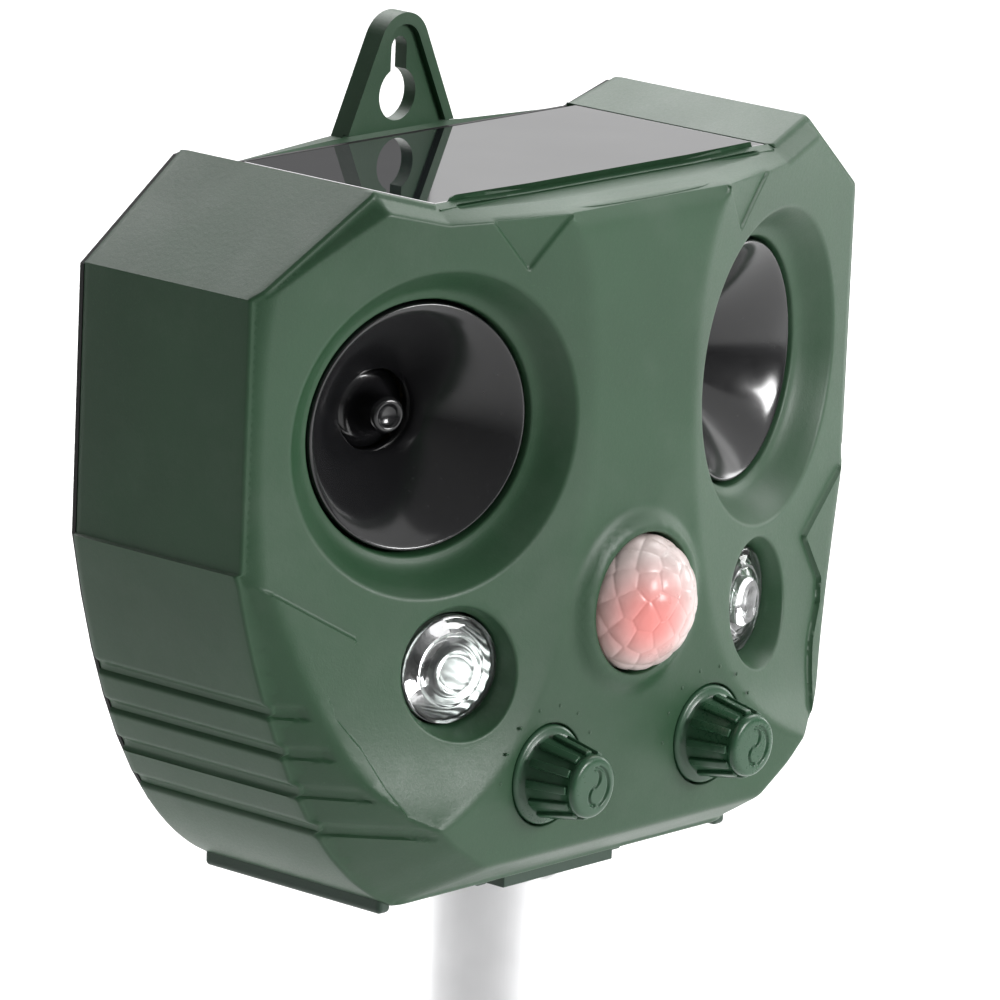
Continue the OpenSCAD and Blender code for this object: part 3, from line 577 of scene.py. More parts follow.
def facet_planes():
    """Planes of the bevels on the right side: upper side, ear, and a fan along the jaw."""
    shoulder = (SIDE_X, SIDE_BEVEL_Y, SHOULDER_Z)
    cheek = (SIDE_X, SIDE_BEVEL_Y, CHEEK_Z)
    inner = (SIDE_X - BEVEL_W, float(flank_y(SIDE_X - BEVEL_W, CHEEK_Z)), CHEEK_Z)
    ear = (EAR_X, EAR_EDGE_Y, EAR_Z)
    ear_in = (EAR_X - 0.6, float(flank_y(EAR_X, EAR_Z)), EAR_Z - BEVEL_W)
    found = [plane(cheek, shoulder, inner), plane(shoulder, ear, ear_in)]
    parts = 8
    for i in range(parts):
        found.append(plane(side_edge((i + 1) / parts), side_edge(i / parts), cheek_edge((i + 0.5) / parts)))
    return found


BROW_KNOTS, BROW_HEIGHTS = (0, 18.8, 35.5, 42.4, 55.0), (110.4, 110.4, 110.25, 110.25, 113.3)
BROW_DENT = [(18.8, 111.4), (35.6, 111.4), (26.6, 101.2)]
CHEEK_LINE = [
    (90.0, 54.7), (76.5, 54.7), (71.5, 51.9), (56.2, 42.8), (61.9, 34.5),
    (60.8, 30.5), (56.7, 25.0), (53.5, 18.1), (51.1, 14.2), (48.9, 10.5)]
FACETS = facet_planes()
CHIN = plane((0, -BODY_D, CHIN_FACE_Z), (0, -41.6, CHIN_Z), (10, -41.6, CHIN_Z))


def line_distance(x, z, line):
    """How far points are from a polyline."""
    best = np.full(x.shape, 1e9)
    for (ax, az), (bx, bz) in zip(line, line[1:]):
        dx, dz = bx - ax, bz - az
        t = np.clip(((x - ax) * dx + (z - az) * dz) / (dx * dx + dz * dz), 0, 1)
        best = np.minimum(best, np.hypot(x - ax - t * dx, z - az - t * dz))
    return best


def inside(x, z, loop):
    """True where points are inside a closed polygon."""
    found = np.zeros(x.shape, dtype=bool)
    for (ax, az), (bx, bz) in zip(loop, loop[1:] + loop[:1]):
        if az == bz:
            continue
        crosses = ((az > z) != (bz > z)) & (x < (bx - ax) * (z - az) / (bz - az) + ax)
        found ^= crosses
    return found


def grooves(z):
    """1 inside the four cheek grooves, 0 between them."""
    total = np.zeros_like(np.asarray(z, dtype=float))
    for i in range(4):
        low = GROOVE_LOW + GROOVE_PITCH * i
        high = low + GROOVE_W
        total = np.maximum(total, step(z, low - 0.15, low + 0.25) * (1 - step(z, high - 0.9, high + 0.5)))
    return total


def side_facets(x, z):
    """The bevels that lead from the front to the sides."""
    facet = np.full(x.shape, -1e3)
    for fit in FACETS:
        facet = soft_max(facet, on_plane(fit, x, z), 0.5)
    return facet - 0.25 * step(CHEEK_Z - z, 0, 2)


def near_crease(x, z):
    """True where the front turns sharply, so that the mesh is finer there."""
    y = flank_y(x, z)
    close = np.abs(side_facets(x, z) - y) < 1.1
    close |= np.abs(on_plane(CHIN, x, z) - y) < 1.3
    return close & (z < 112)


def front_y(x, z):
    """The front surface of the housing at x, z."""
    ax = np.abs(x)
    y = flank_y(x, z)
    cheek = inside(ax, z, CHEEK_LINE + [(44, -8), (90, -8)])
    near = line_distance(ax, z, CHEEK_LINE)
    y = y - PROUD * np.where(cheek, step(near, 0.0, 0.35), 0)
    dent = inside(ax, z, BROW_DENT)
    rim = line_distance(ax, z, BROW_DENT + BROW_DENT[:1])
    y = y + 0.5 * np.where(dent, step(rim, 0.0, 0.35), 0)
    facet = side_facets(x, z)
    facet = facet + GROOVE_D * grooves(z) * step(facet - y, 0.9, 1.5)
    y = soft_max(y, facet, 0.8)
    y = soft_max(y, on_plane(CHIN, x, z), 1.4)
    ring = np.hypot(x, z - EYE_Z)
    slope = EYE_RING_H / (EYE_RING_R - EYE_HOLE_R - 1.2)
    y = soft_min(y, -BODY_D - np.minimum(EYE_RING_H, (EYE_RING_R - ring) * slope), 0.7)
    return brow(x, z, y)


PAD_AT = 0.24


def pad_half(x):
    """Half the height of the lens-shaped pad on the ledge."""
    return 0.16 * np.sqrt(np.clip(1 - (x / 19.0) ** 2, 0, 1))


def gutter_edge(x):
    """Where the gutter in front of the panel begins, as a part of the ledge's height."""
    return 0.61 - 0.11 * np.clip((38 - np.abs(x)) / 20, 0, 1)


def ledge_rows(x):
    """The rows of the ledge's mesh at x, which follow the edges of its pad and gutter."""
    half, low = float(pad_half(x)), float(gutter_edge(x))
    below = [PAD_AT - max(half - k, e) for k, e in ((-0.01, 0.05), (0.01, 0.04), (0.03, 0.03), (0.05, 0.02))]
    above = [2 * PAD_AT - t for t in below[::-1]]
    gutter = [low - 0.01, low, low + 0.02, low + 0.04, 0.70, 0.755, 0.78, 0.80, 0.82, 0.845, 0.9, 1.0]
    rows = np.array([0, 0.02, 0.045] + below + [PAD_AT] + above + [0.45] + gutter)
    base = float(np.interp(abs(x), BROW_KNOTS, BROW_HEIGHTS))
    return base + rows * (PANEL_Z - base)


def brow(x, z, y):
    """The ledge between the panel and the brow edge, and the bevel on to the ears."""
    ax = np.abs(x)
    z_low = np.interp(ax, BROW_KNOTS, BROW_HEIGHTS)
    y_low = flank_y(x, z_low) + 0.05
    z_top = np.interp(ax, (0, PANEL_X, EAR_X), (PANEL_Z, PANEL_Z, EAR_Z))
    y_top = np.interp(ax, (0, PANEL_X, EAR_X), (PANEL_FRONT, PANEL_FRONT, EAR_EDGE_Y))
    t = (z - z_low) / (z_top - z_low)
    ledge = y_low + t * (y_top - y_low)
    chamfer = -BODY_D + 0.29 * (z - 108)
    y = np.where(ax < 19.5, soft_max(y, chamfer, 0.4), y)
    gutter = step(t, gutter_edge(ax), gutter_edge(ax) + 0.04) * (1 - step(t, 0.76, 0.84))
    gutter = gutter * (1 - step(ax, 36.5, 38.0))
    pad = 1 - step(np.abs(t - PAD_AT), pad_half(ax) - 0.05, pad_half(ax) + 0.01)
    ledge = ledge + 1.3 * gutter - 0.7 * pad * (1 - step(ax, 12.5, 18.8))
    return np.where(ax < EAR_X + 1, soft_max(y, ledge, 0.6), y)


def outline(step_mm=0.5):
    """The right half of the front view, from the panel's end to the underside's middle."""
    inner = SIDE_X - 0.6
    corners = [
        (PANEL_X, PANEL_Z), (EAR_X, EAR_Z), (inner, SHOULDER_Z), (inner, CHEEK_Z + 0.35), (SIDE_X, CHEEK_Z)]
    corners += [jaw(t) for t in np.linspace(0.02, 1, 50)] + [(0, CHIN_Z)]
    out = [corners[0]]
    for a, b in zip(corners, corners[1:]):
        n = max(1, int(math.ceil(math.dist(a, b) / step_mm)))
        out += [tuple(np.array(a) + (np.array(b) - np.array(a)) * k / n) for k in range(1, n + 1)]
    return np.array(out)


def outline_normals(line):
    """Directions straight out of the front view's outline."""
    along = np.gradient(line, axis=0)
    along /= np.linalg.norm(along, axis=1)[:, None] + 1e-12
    along[np.abs(line[:, 1] - CHEEK_Z) < 1.2] = (0, -1)
    return np.stack([-along[:, 1], along[:, 0]], axis=1)


def circle_on(x, y, z, turn, radius, height, turns):
    """A ring of points round a part's own axis, at a height above its face."""
    a = np.linspace(0, 2 * np.pi, turns, endpoint=False)
    local = np.stack([radius * np.cos(a), radius * np.sin(a), np.full(turns, height)], axis=1)
    return facing(x, y, z, turn)(local)


def opening_rows():
    """Every round opening of the front: its place, turn, edge radius, and the rings that lead into it."""
    horn_y = float(flank_y(HORN_X, HORN_Z))
    lamp_y = float(flank_y(LAMP_X, LAMP_Z))
    bowl = fillet((RECESS_R, 0), (RECESS_R + 2, 0), (22.6, -4.9), 0.6, 5)
    bowl += [(25.4, -1.95), (24.3, -3.2)] + fillet((23.0, -4.45), (24.3, -3.2), (21.9, -5.0), 0.7, 3)
    bowl += fillet((21.5, -5.1), (22.2, -4.85), (21.2, -6.5), 0.35, 3) + [(21.1, -7.5), (21.0, -9.5)]
    well = fillet((LAMP_R, 0), (LAMP_R + 2, 0), (9.9, -2.9), 0.45, 4)
    well += [(10.4, -1.6), (9.75, -3.0), (9.6, -6.0)]
    dial = fillet((KNOB_WELL_R, 0), (KNOB_WELL_R + 2, 0), (KNOB_WELL_R, -3), 0.35, 4)
    dial += [(KNOB_WELL_R, -1.2), (KNOB_WELL_R, -2.0), (7.0, -2.0), (4.4, -2.0)]
    eye = [
        (EYE_HOLE_R + 0.35, EYE_RING_H), (EYE_HOLE_R + 0.1, EYE_RING_H - 0.1),
        (EYE_HOLE_R, EYE_RING_H - 0.4), (EYE_HOLE_R, 0), (EYE_HOLE_R, -3.4)]
    found = [(0, -BODY_D, EYE_Z, 0, eye, 96)]
    for s in (-1, 1):
        found.append((s * HORN_X, horn_y, HORN_Z, s * TILT, bowl, 160))
        found.append((s * LAMP_X, lamp_y, LAMP_Z, s * TILT, well, 88))
        found.append((s * KNOB_X, -BODY_D, KNOB_Z, 0, dial, 72))
    return found


def feature_points():
    """Points along the creases of the front, so that they stay crisp in the mesh."""
    bevel_line = [(73.2, 100.7), (73.2, 60.8)] + [mask_edge(t) for t in np.linspace(0, 1, 12)]
    bevel_line += [(40.3, 2.8), (0, 2.8)]
    lines = [
        list(zip(BROW_KNOTS, BROW_HEIGHTS)) + [(73.2, 100.7)], bevel_line, CHEEK_LINE[1:],
        [(0, 108.0), (18.8, 108.0)], [BROW_DENT[0], BROW_DENT[2]], [BROW_DENT[2], BROW_DENT[1]]]
    offsets = (-0.9, -0.45, -0.3, -0.15, 0, 0.15, 0.3, 0.45, 0.9)
    found = []
    for line in lines:
        for a, b in zip(line, line[1:]):
            a, b = np.array(a), np.array(b)
            length = np.linalg.norm(b - a)
            across = np.array([-(b - a)[1], (b - a)[0]]) / length
            for k in np.arange(0, length, 0.5):
                found += [tuple(a + (b - a) * k / length + across * o) for o in offsets]
    for x in np.arange(PANEL_X + 0.3, 53.5, 0.6):
        low = float(np.interp(x, BROW_KNOTS, BROW_HEIGHTS))
        top = float(np.interp(x, (0, PANEL_X, EAR_X), (PANEL_Z, PANEL_Z, EAR_Z)))
        found += [(x, low + (top - low) * t) for t in np.linspace(0.03, 0.97, 30)]
    for i in range(4):
        low = GROOVE_LOW + GROOVE_PITCH * i
        for z in (low - 0.15, low + 0.05, low + 0.25, low + 1.4, low + 1.9, low + 2.4, low + 2.8):
            found += [(x, z) for x in np.arange(48, 76, 0.6)]
    return np.array(found)


def spaced(points, kept, gap):
    """The points that lie at least gap from each other and from the kept ones."""
    taken = {}
    out = []

    def clear(p):
        i, k = int(p[0] // gap), int(p[1] // gap)
        around = [(i + a, k + b) for a in (-1, 0, 1) for b in (-1, 0, 1)]
        return all(math.dist(p, q) >= gap for cell in around for q in taken.get(cell, ()))

    def take(p):
        taken.setdefault((int(p[0] // gap), int(p[1] // gap)), []).append(p)

    for p in kept:
        take(tuple(p))
    for p in points:
        p = tuple(p)
        if clear(p):
            take(p)
            out.append(p)
    return out


SKIN_GRID, SKIN_GAP, CREASE_GAP = 1.15, 0.62, 0.17


def front_mesh():
    """Points, in head millimetres, and faces of the housing's outer skin with its openings."""
    half = outline()
    normal = outline_normals(half)
    bite = GROOVE_D * grooves(half[:, 1]) * (half[:, 0] > CHIN_X)
    edge = half - normal * bite[:, None]
    border = edge - normal * EDGE_R
    border[0] = (PANEL_X, PANEL_Z)
    border[-1] = (0, CHIN_Z + EDGE_R)
    columns = np.linspace(0, PANEL_X, 85)
    brow_line = [(x, ledge_rows(x)[0]) for x in columns]
    top = np.array(brow_line + [(PANEL_X, z) for z in ledge_rows(PANEL_X)[1:-1]])
    right = np.vstack([top, border])
    left = right[1:-1][::-1] * (-1, 1)
    loop = np.vstack([right, left])
    openings = opening_rows()
    rings = [circle_on(x, y, z, turn, rows[0][0], rows[0][1], n) for x, y, z, turn, rows, n in openings]
    fixed = [tuple(p) for p in loop] + [(p[0], p[2]) for ring in rings for p in ring]
    rows_z = np.arange(CHIN_Z + 1, EAR_Z, SKIN_GRID * 0.866)
    fill = np.array([(x + (SKIN_GRID / 2 if k % 2 else 0), z) for k, z in enumerate(rows_z)
                     for x in np.arange(-77, 77.5, SKIN_GRID)])
    features = feature_points()
    fine = np.array([(x + (0.22 if k % 2 else 0), z) for k, z in enumerate(np.arange(CHIN_Z + 0.9, 112, 0.4))
                     for x in np.arange(0.1, 77, 0.45)])
    features = np.vstack([features, fine[near_crease(fine[:, 0], fine[:, 1])]])
    features = np.vstack([features, features[features[:, 0] > 0.05] * (-1, 1)])

    def on_skin(points):
        ok = inside(points[:, 0], points[:, 1], [tuple(p) for p in loop])
        for ring in rings:
            ok &= ~inside(points[:, 0], points[:, 1], [(p[0], p[2]) for p in ring])
        return ok

    close = spaced(features[on_skin(features)], fixed, CREASE_GAP)
    loose = spaced(fill[on_skin(fill)], fixed + close, SKIN_GAP)
    flat = fixed + close + loose
    count = len(flat)
    flat_v, _, tris, _, _, _ = delaunay_2d_cdt([Vector(p) for p in flat], [], [], 0, 1e-6)
    plan = np.array([(v.x, v.y) for v in flat_v])
    tris = np.array([list(t) for t in tris])
    tris = tris[on_skin(plan[tris].mean(axis=1))]
    a, b, c = plan[tris[:, 0]], plan[tris[:, 1]], plan[tris[:, 2]]
    back = (b[:, 0] - a[:, 0]) * (c[:, 1] - a[:, 1]) - (b[:, 1] - a[:, 1]) * (c[:, 0] - a[:, 0]) < 0
    tris[back] = tris[back][:, ::-1]
    assert len(plan) == count, "two points of the front fell together"
    y = front_y(plan[:, 0], plan[:, 1])
    points = [np.stack([plan[:, 0], y, plan[:, 1]], axis=1)]
    faces = [list(t) for t in tris]
    total = count
    start = len(loop)
    for (x, ry, z, turn, rows, n), first_ring in zip(openings, rings):
        last = list(range(start, start + n))
        off_plane = points[0][start:start + n, 1] - first_ring[:, 1]
        start += n
        for radius, height in rows[1:]:
            ring = circle_on(x, ry, z, turn, radius, height, n)
            ring[:, 1] += off_plane * float(step(height, -4.4, -0.1))
            points.append(ring)
            now = list(range(total, total + n))
            total += n
            faces += [[last[i], last[(i + 1) % n], now[(i + 1) % n], now[i]] for i in range(n)]
            last = now
    full = np.vstack(points)
    side = side_band(full, len(top), half, edge, normal, len(loop), total)
    return joined((np.vstack([full, side[0]]), faces + side[1]), ledge(columns))


def ledge(columns):
    """The ledge below the panel, and the lip that the panel's front edge lies behind."""
    points, faces = [], []
    across = np.concatenate([-columns[:0:-1], columns])
    for x in across:
        z = ledge_rows(x)
        y = front_y(np.full(len(z), x), z)
        y[-1] = PANEL_FRONT
        points += list(zip([x] * len(z), y, z))
        points += [(x, PANEL_FRONT + 0.05, PANEL_Z - 0.6), (x, PANEL_FRONT + 0.05, PANEL_Z - 2.4)]
    n = len(points) // len(across)
    for i in range(len(across) - 1):
        for k in range(n - 1):
            a = i * n + k
            faces.append([a, a + n, a + n + 1, a + 1])
    return np.array(points), faces


def side_band(full, first, half, edge, normal, loop_length, total):
    """The skin from the front's border back to the rear joint, on both sides, and the panel's rim."""
    points, faces = [], []
    for sign in (1, -1):
        n = len(half)
        index = [first + i for i in range(n)]
        if sign < 0:
            index = [(loop_length - (first + i)) % loop_length for i in range(n)]
        last = index
        front = full[np.array(index)][:, 1]
        rows = []
        for angle in (25, 50, 75, 90):
            a = math.radians(angle)
            inset = EDGE_R * (1 - math.sin(a))
            rows.append((inset, front + EDGE_R * (1 - math.cos(a))))
        depth = front + EDGE_R
        for t in (0.04, 0.25, 0.5, 0.75, 0.96, 0.99, 1.0):
            rows.append((0.0 if t < 0.98 else (0.12 if t < 1 else 0.3), depth * (1 - t)))
        for inset, ys in rows:
            flat = edge - normal * inset
            flat[0] = (PANEL_X, PANEL_Z)
            flat[-1] = (0, CHIN_Z + inset)
            ring = np.stack([sign * flat[:, 0], ys, flat[:, 1]], axis=1)
            points.append(ring)
            now = list(range(total, total + n))
            total += n
            for i in range(n - 1):
                face = [last[i], last[i + 1], now[i + 1], now[i]]
                faces.append(face if sign < 0 else face[::-1])
            last = now
    return np.vstack(points), faces


def tapered_rim(build):
    """Draws the rear cover's rim in towards the back, as a moulded cover has it."""
    half = outline()
    normal = outline_normals(half)
    for v in build.verts:
        x, y, z = ((v.co - HEAD) / MM)[:]
        if y < 0.5 or (abs(x) < 20 and z > 100):
            continue
        gaps = np.hypot(half[:, 0] - abs(x), half[:, 1] - z)
        k = int(np.argmin(gaps))
        if gaps[k] > 1.4:
            continue
        inset = 0.9 + 3.6 * (y - 0.8) / 3.2
        v.co.x -= math.copysign(normal[k][0] * inset * MM, x)
        v.co.z -= normal[k][1] * inset * MM


def front_shell():
    """The front housing: the pressed skin, given its wall."""
    points, faces = front_mesh()
    obj = piece("front_shell", in_place(points), faces, "head", "housing_green")
    build = bmesh.new()
    build.from_mesh(obj.data)
    bmesh.ops.remove_doubles(build, verts=build.verts, dist=0.000004)
    bmesh.ops.recalc_face_normals(build, faces=build.faces)
    brow_spot = Vector((0, HEAD.y - BODY_D * MM, HEAD.z + 80 * MM))
    probe = min(build.faces, key=lambda face: (face.calc_center_median() - brow_spot).length)
    if probe.normal.y > 0:
        bmesh.ops.reverse_faces(build, faces=build.faces)
    build.to_mesh(obj.data)
    build.free()
    wall = obj.modifiers.new("wall", "SOLIDIFY")
    wall.thickness = WALL * MM
    wall.offset = -1
    wall.use_even_offset = False
    applied(obj)
    sharp_by_angle(obj.data, 50)
    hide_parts("front_housing")
    return obj


# ---------------------------------------------------------------- what repeats

class Tree:
    """A Geometry Nodes tree with named inputs, made into a plain mesh."""

    def __init__(self, name, **inputs):
        self.tree = bpy.data.node_groups.new(name, "GeometryNodeTree")
        self.tree.interface.new_socket("Geometry", in_out="OUTPUT", socket_type="NodeSocketGeometry")
        self.ids = {}
        self.given = inputs
        for key, value in inputs.items():
            kind = "NodeSocketInt" if isinstance(value, int) else "NodeSocketFloat"
            self.ids[key] = self.tree.interface.new_socket(key, in_out="INPUT", socket_type=kind).identifier
        self.entry = self.tree.nodes.new("NodeGroupInput")

    def size(self, name):
        return self.entry.outputs[name]

    def node(self, kind, settings=None, sockets=None, out=0):
        return add_node(self.tree, kind, settings, sockets).outputs[out]

    def mesh(self, geometry, slot):
        """The tree's result, with its instances made real and its finish set."""
        real = self.node("GeometryNodeRealizeInstances", None, {0: geometry})
        done = self.node("GeometryNodeSetMaterial", None, {"Geometry": real, "Material": FINISHES[slot]})
        end = self.tree.nodes.new("NodeGroupOutput")
        self.tree.links.new(done, end.inputs[0])
        holder = linked(self.tree.name, bpy.data.meshes.new(self.tree.name))
        maker = holder.modifiers.new("maker", "NODES")
        maker.node_group = self.tree
        for key, value in self.given.items():
            maker[self.ids[key]] = value
        graph = bpy.context.evaluated_depsgraph_get()
        result = bpy.data.meshes.new_from_object(holder.evaluated_get(graph))
        bpy.data.objects.remove(holder)
        return result


def ribs_round(name, slot, count, radius, size, lean):
    """Small bars set round +z at one radius, leaning in by lean, as one mesh round the origin."""
    tree = Tree(name, Count=count, Radius=radius, Width=size[0], Depth=size[1], Length=size[2], Lean=lean)
    bar = tree.node("GeometryNodeMeshCube", None, {
        "Size": tree.node("ShaderNodeCombineXYZ", None, {
            0: tree.size("Depth"), 1: tree.size("Width"), 2: tree.size("Length")}),
        "Vertices X": 2, "Vertices Y": 3, "Vertices Z": 4})
    tilted = tree.node("GeometryNodeTransform", None, {
        "Geometry": bar, "Rotation": tree.node("ShaderNodeCombineXYZ", None, {1: tree.size("Lean")})})
    ring = tree.node("GeometryNodeMeshCircle", None, {
        "Vertices": tree.size("Count"), "Radius": tree.size("Radius")})
    place = tree.node("GeometryNodeInputPosition")
    turn = tree.node("FunctionNodeAlignRotationToVector", {"axis": "X", "pivot_axis": "Z"}, {"Vector": place})
    made = tree.node("GeometryNodeInstanceOnPoints", None, {
        "Points": ring, "Instance": tilted, "Rotation": turn})
    return tree.mesh(made, slot)


def dots_round(name, slot, count, radius, size, start, sweep):
    """Low round pips on an arc round +z."""
    tree = Tree(name, Count=count, Radius=radius, Size=size, Start=start, Sweep=sweep)
    arc = tree.node("GeometryNodeCurveArc", {"mode": "RADIUS"}, {
        "Resolution": tree.size("Count"), "Radius": tree.size("Radius"),
        "Start Angle": tree.size("Start"), "Sweep Angle": tree.size("Sweep")})
    pip = tree.node("GeometryNodeMeshUVSphere", None, {
        "Segments": 14, "Rings": 8, "Radius": tree.size("Size")})
    low = tree.node("GeometryNodeTransform", None, {"Geometry": pip, "Scale": (1, 1, 0.45)})
    made = tree.node("GeometryNodeInstanceOnPoints", None, {"Points": arc, "Instance": low})
    return tree.mesh(made, slot)


def moved(mesh, move):
    """A mesh in millimetres put in place by a function on its points."""
    count = len(mesh.vertices)
    flat = np.empty(count * 3)
    mesh.vertices.foreach_get("co", flat)
    mesh.vertices.foreach_set("co", np.asarray(move(flat.reshape(count, 3))).ravel())
    mesh.update()
    return mesh


# ---------------------------------------------------------------- parts on the front

def placed(name, points, faces, put, slot, node, body="head"):
    """A closed piece moved to its place on the head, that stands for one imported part."""
    points, faces = outward(in_place(put(points)), faces)
    return piece(name, points, faces, body, slot, replaced=(node,))


def turned(name, profile, put, slot, node, turns=96, closed=False):
    """A piece of the head that is lathed from a profile and put in place."""
    points, faces = lathe(profile, turns, closed)
    return placed(name, points, faces, put, slot, node)


def on_flank(side, x, z):
    """Moves points from a part's own frame to its place on one flank."""
    s = SIDES[side]
    return facing(s * x, float(flank_y(x, z)), z, s * TILT)


DISH_DEPTH, DISH_CURVE = 13.4, 1.2


def horn(side):
    """A black horn: rolled lip, curved dish, short throat tube, and a flange behind."""
    put = on_flank(side, HORN_X, HORN_Z)
    lip, deep = -MOUTH_DEPTH, -MOUTH_DEPTH - HORN_DEPTH
    inner = [(MOUTH_R - 0.5, lip - 0.1)]
    for t in np.linspace(0, 1, 29)[1:]:
        radius = MOUTH_R - 0.5 - (MOUTH_R - 0.5 - THROAT_R) * t
        inner.append((radius, lip - 0.1 - DISH_DEPTH * t ** DISH_CURVE))
    inner += [(THROAT_R, deep - 2.0)]
    outer = [
        (THROAT_R + 1.6, deep - 2.0), (THROAT_R + 1.6, deep), (MOUTH_R - 1.2, lip - 4.3),
        (MOUTH_R, lip - 4.0), (MOUTH_R + 0.1, lip - 0.6), (MOUTH_R, lip - 0.15), (MOUTH_R - 0.25, lip)]
    return turned(side + "_horn_dish", inner + outer, put, "horn_black", side + "_horn", 160, True)


def horn_plug(side):
    """The plug in the throat: a stepped hub with a small polished cup on its tip, on a flat web."""
    put = on_flank(side, HORN_X, HORN_Z)
    tip = -MOUTH_DEPTH - 9.0
    base = -MOUTH_DEPTH - HORN_DEPTH - 1.5
    steps = [
        (0, 0.9), (1.35, 0.85), (1.75, 0.5), (2.0, 0.1), (2.35, 0), (2.75, 0.15), (3.0, 0.6), (3.1, 1.2),
        (3.15, 4.6), (3.3, 5.8), (4.0, 7.0), (5.2, 7.7), (6.9, 8.0)]
    profile = [(radius, tip - below) for radius, below in steps] + [(6.9, base), (0, base)]
    return turned(side + "_horn_hub", profile, put, "horn_black", side + "_horn_plug")


def lamp(side):
    """A mirror bowl with fine flutes, a clear lens with two rings, and the light below it."""
    put = on_flank(side, LAMP_X, LAMP_Z)
    seat, turns = -6.0, 144
    inner = [(9.2, seat + 2.0), (8.2, seat + 1.9)] + [
        (2.9 + 5.3 * (1 - t) ** 0.62, seat + 1.9 - 7.2 * t) for t in np.linspace(0.04, 1, 12)]
    outer = [(4.4, seat - 5.4), (9.2, seat - 0.2), (9.2, seat + 1.5)]
    points, faces = lathe(inner + outer, turns)
    rows = len(inner)
    fluted = points[turns * 2:turns * rows]
    angle = np.arctan2(fluted[:, 1], fluted[:, 0])
    fluted[:, :2] *= (1 + 0.012 * np.cos(angle * 24))[:, None]
    placed(side + "_lamp_bowl", points, faces, put, "lamp_mirror", side + "_lamp_reflector")
    lens = [
        (0, 3.1), (1.2, 3.06), (2.4, 2.92), (3.3, 2.70), (3.5, 2.78), (3.75, 2.72), (3.9, 2.45), (4.8, 2.06),
        (5.5, 1.62), (5.9, 1.35), (6.1, 1.42), (6.4, 1.36), (6.6, 1.1), (8.6, 1.0), (9.0, 0.9), (9.15, 0.7),
        (9.15, 0.2), (9.0, 0), (0, 0)]
    profile = [(radius, seat + 2.05 + height) for radius, height in lens]
    turned(side + "_lamp_glass", profile, put, "lamp_clear", side + "_lamp_lens")
    chip = [(0, 3.6), (0.9, 3.5), (1.7, 3.1), (2.2, 2.4), (2.4, 1.6), (2.4, 0.2), (0, 0.2)]
    profile = [(radius, seat - 5.5 + height) for radius, height in chip]
    turned(side + "_lamp_light", profile, put, "lamp_white", side + "_lamp_led", 48)


def facet_seeds(count):
    """Directions of the dome's lens facets, spread evenly from the top down."""
    k = np.arange(count) + 0.5
    up = 1 - 0.97 * k / count
    a = np.pi * (1 + 5 ** 0.5) * k
    flat = np.sqrt(1 - up * up)
    return np.stack([flat * np.cos(a), flat * np.sin(a), up], axis=1)


def sensor_dome():
    """A milky dome whose skin is pressed into many small lenses, with a rim behind the ring."""
    turns, rings = 240, 72
    seeds = facet_seeds(44)
    put = facing(0, -BODY_D, EYE_Z, 0)
    directions, faces = lathe([(0, 1)] + [
        (math.sin(a), math.cos(a)) for a in np.linspace(0, math.pi / 2, rings + 1)[1:]], turns, False)
    directions = np.array(directions)
    near = np.sort(np.arccos(np.clip(directions @ seeds.T, -1, 1)), axis=1)
    wall = np.clip((near[:, 1] - near[:, 0]) / 0.20, 0, 1)
    groove = (1 - np.clip((near[:, 1] - near[:, 0]) / 0.04, 0, 1)) ** 2
    lens = 0.26 * (1 - (near[:, 0] / 0.30) ** 2) - 0.2 * groove
    low = np.clip(directions[:, 2] / 0.12, 0, 1)
    outer = directions * (DOME_R, DOME_R, DOME_H) + directions * (lens * low * (0.6 + 0.4 * wall))[:, None]
    outer[:, 2] = np.maximum(outer[:, 2], 0)
    base = len(outer)
    rim = [(DOME_R, -2.2), (DOME_R + 0.3, -2.4), (DOME_R + 0.3, -3.3), (0, -3.3)]
    rim_points, rim_faces = lathe([(DOME_R, 0)] + rim, turns, False)
    extra = rim_points[turns:]
    shift = base - turns
    faces = faces + [[i + shift for i in f] for f in rim_faces]
    return placed("sensor_dome", np.vstack([outer, extra]), faces, put, "sensor_milky", "sensor_lens")


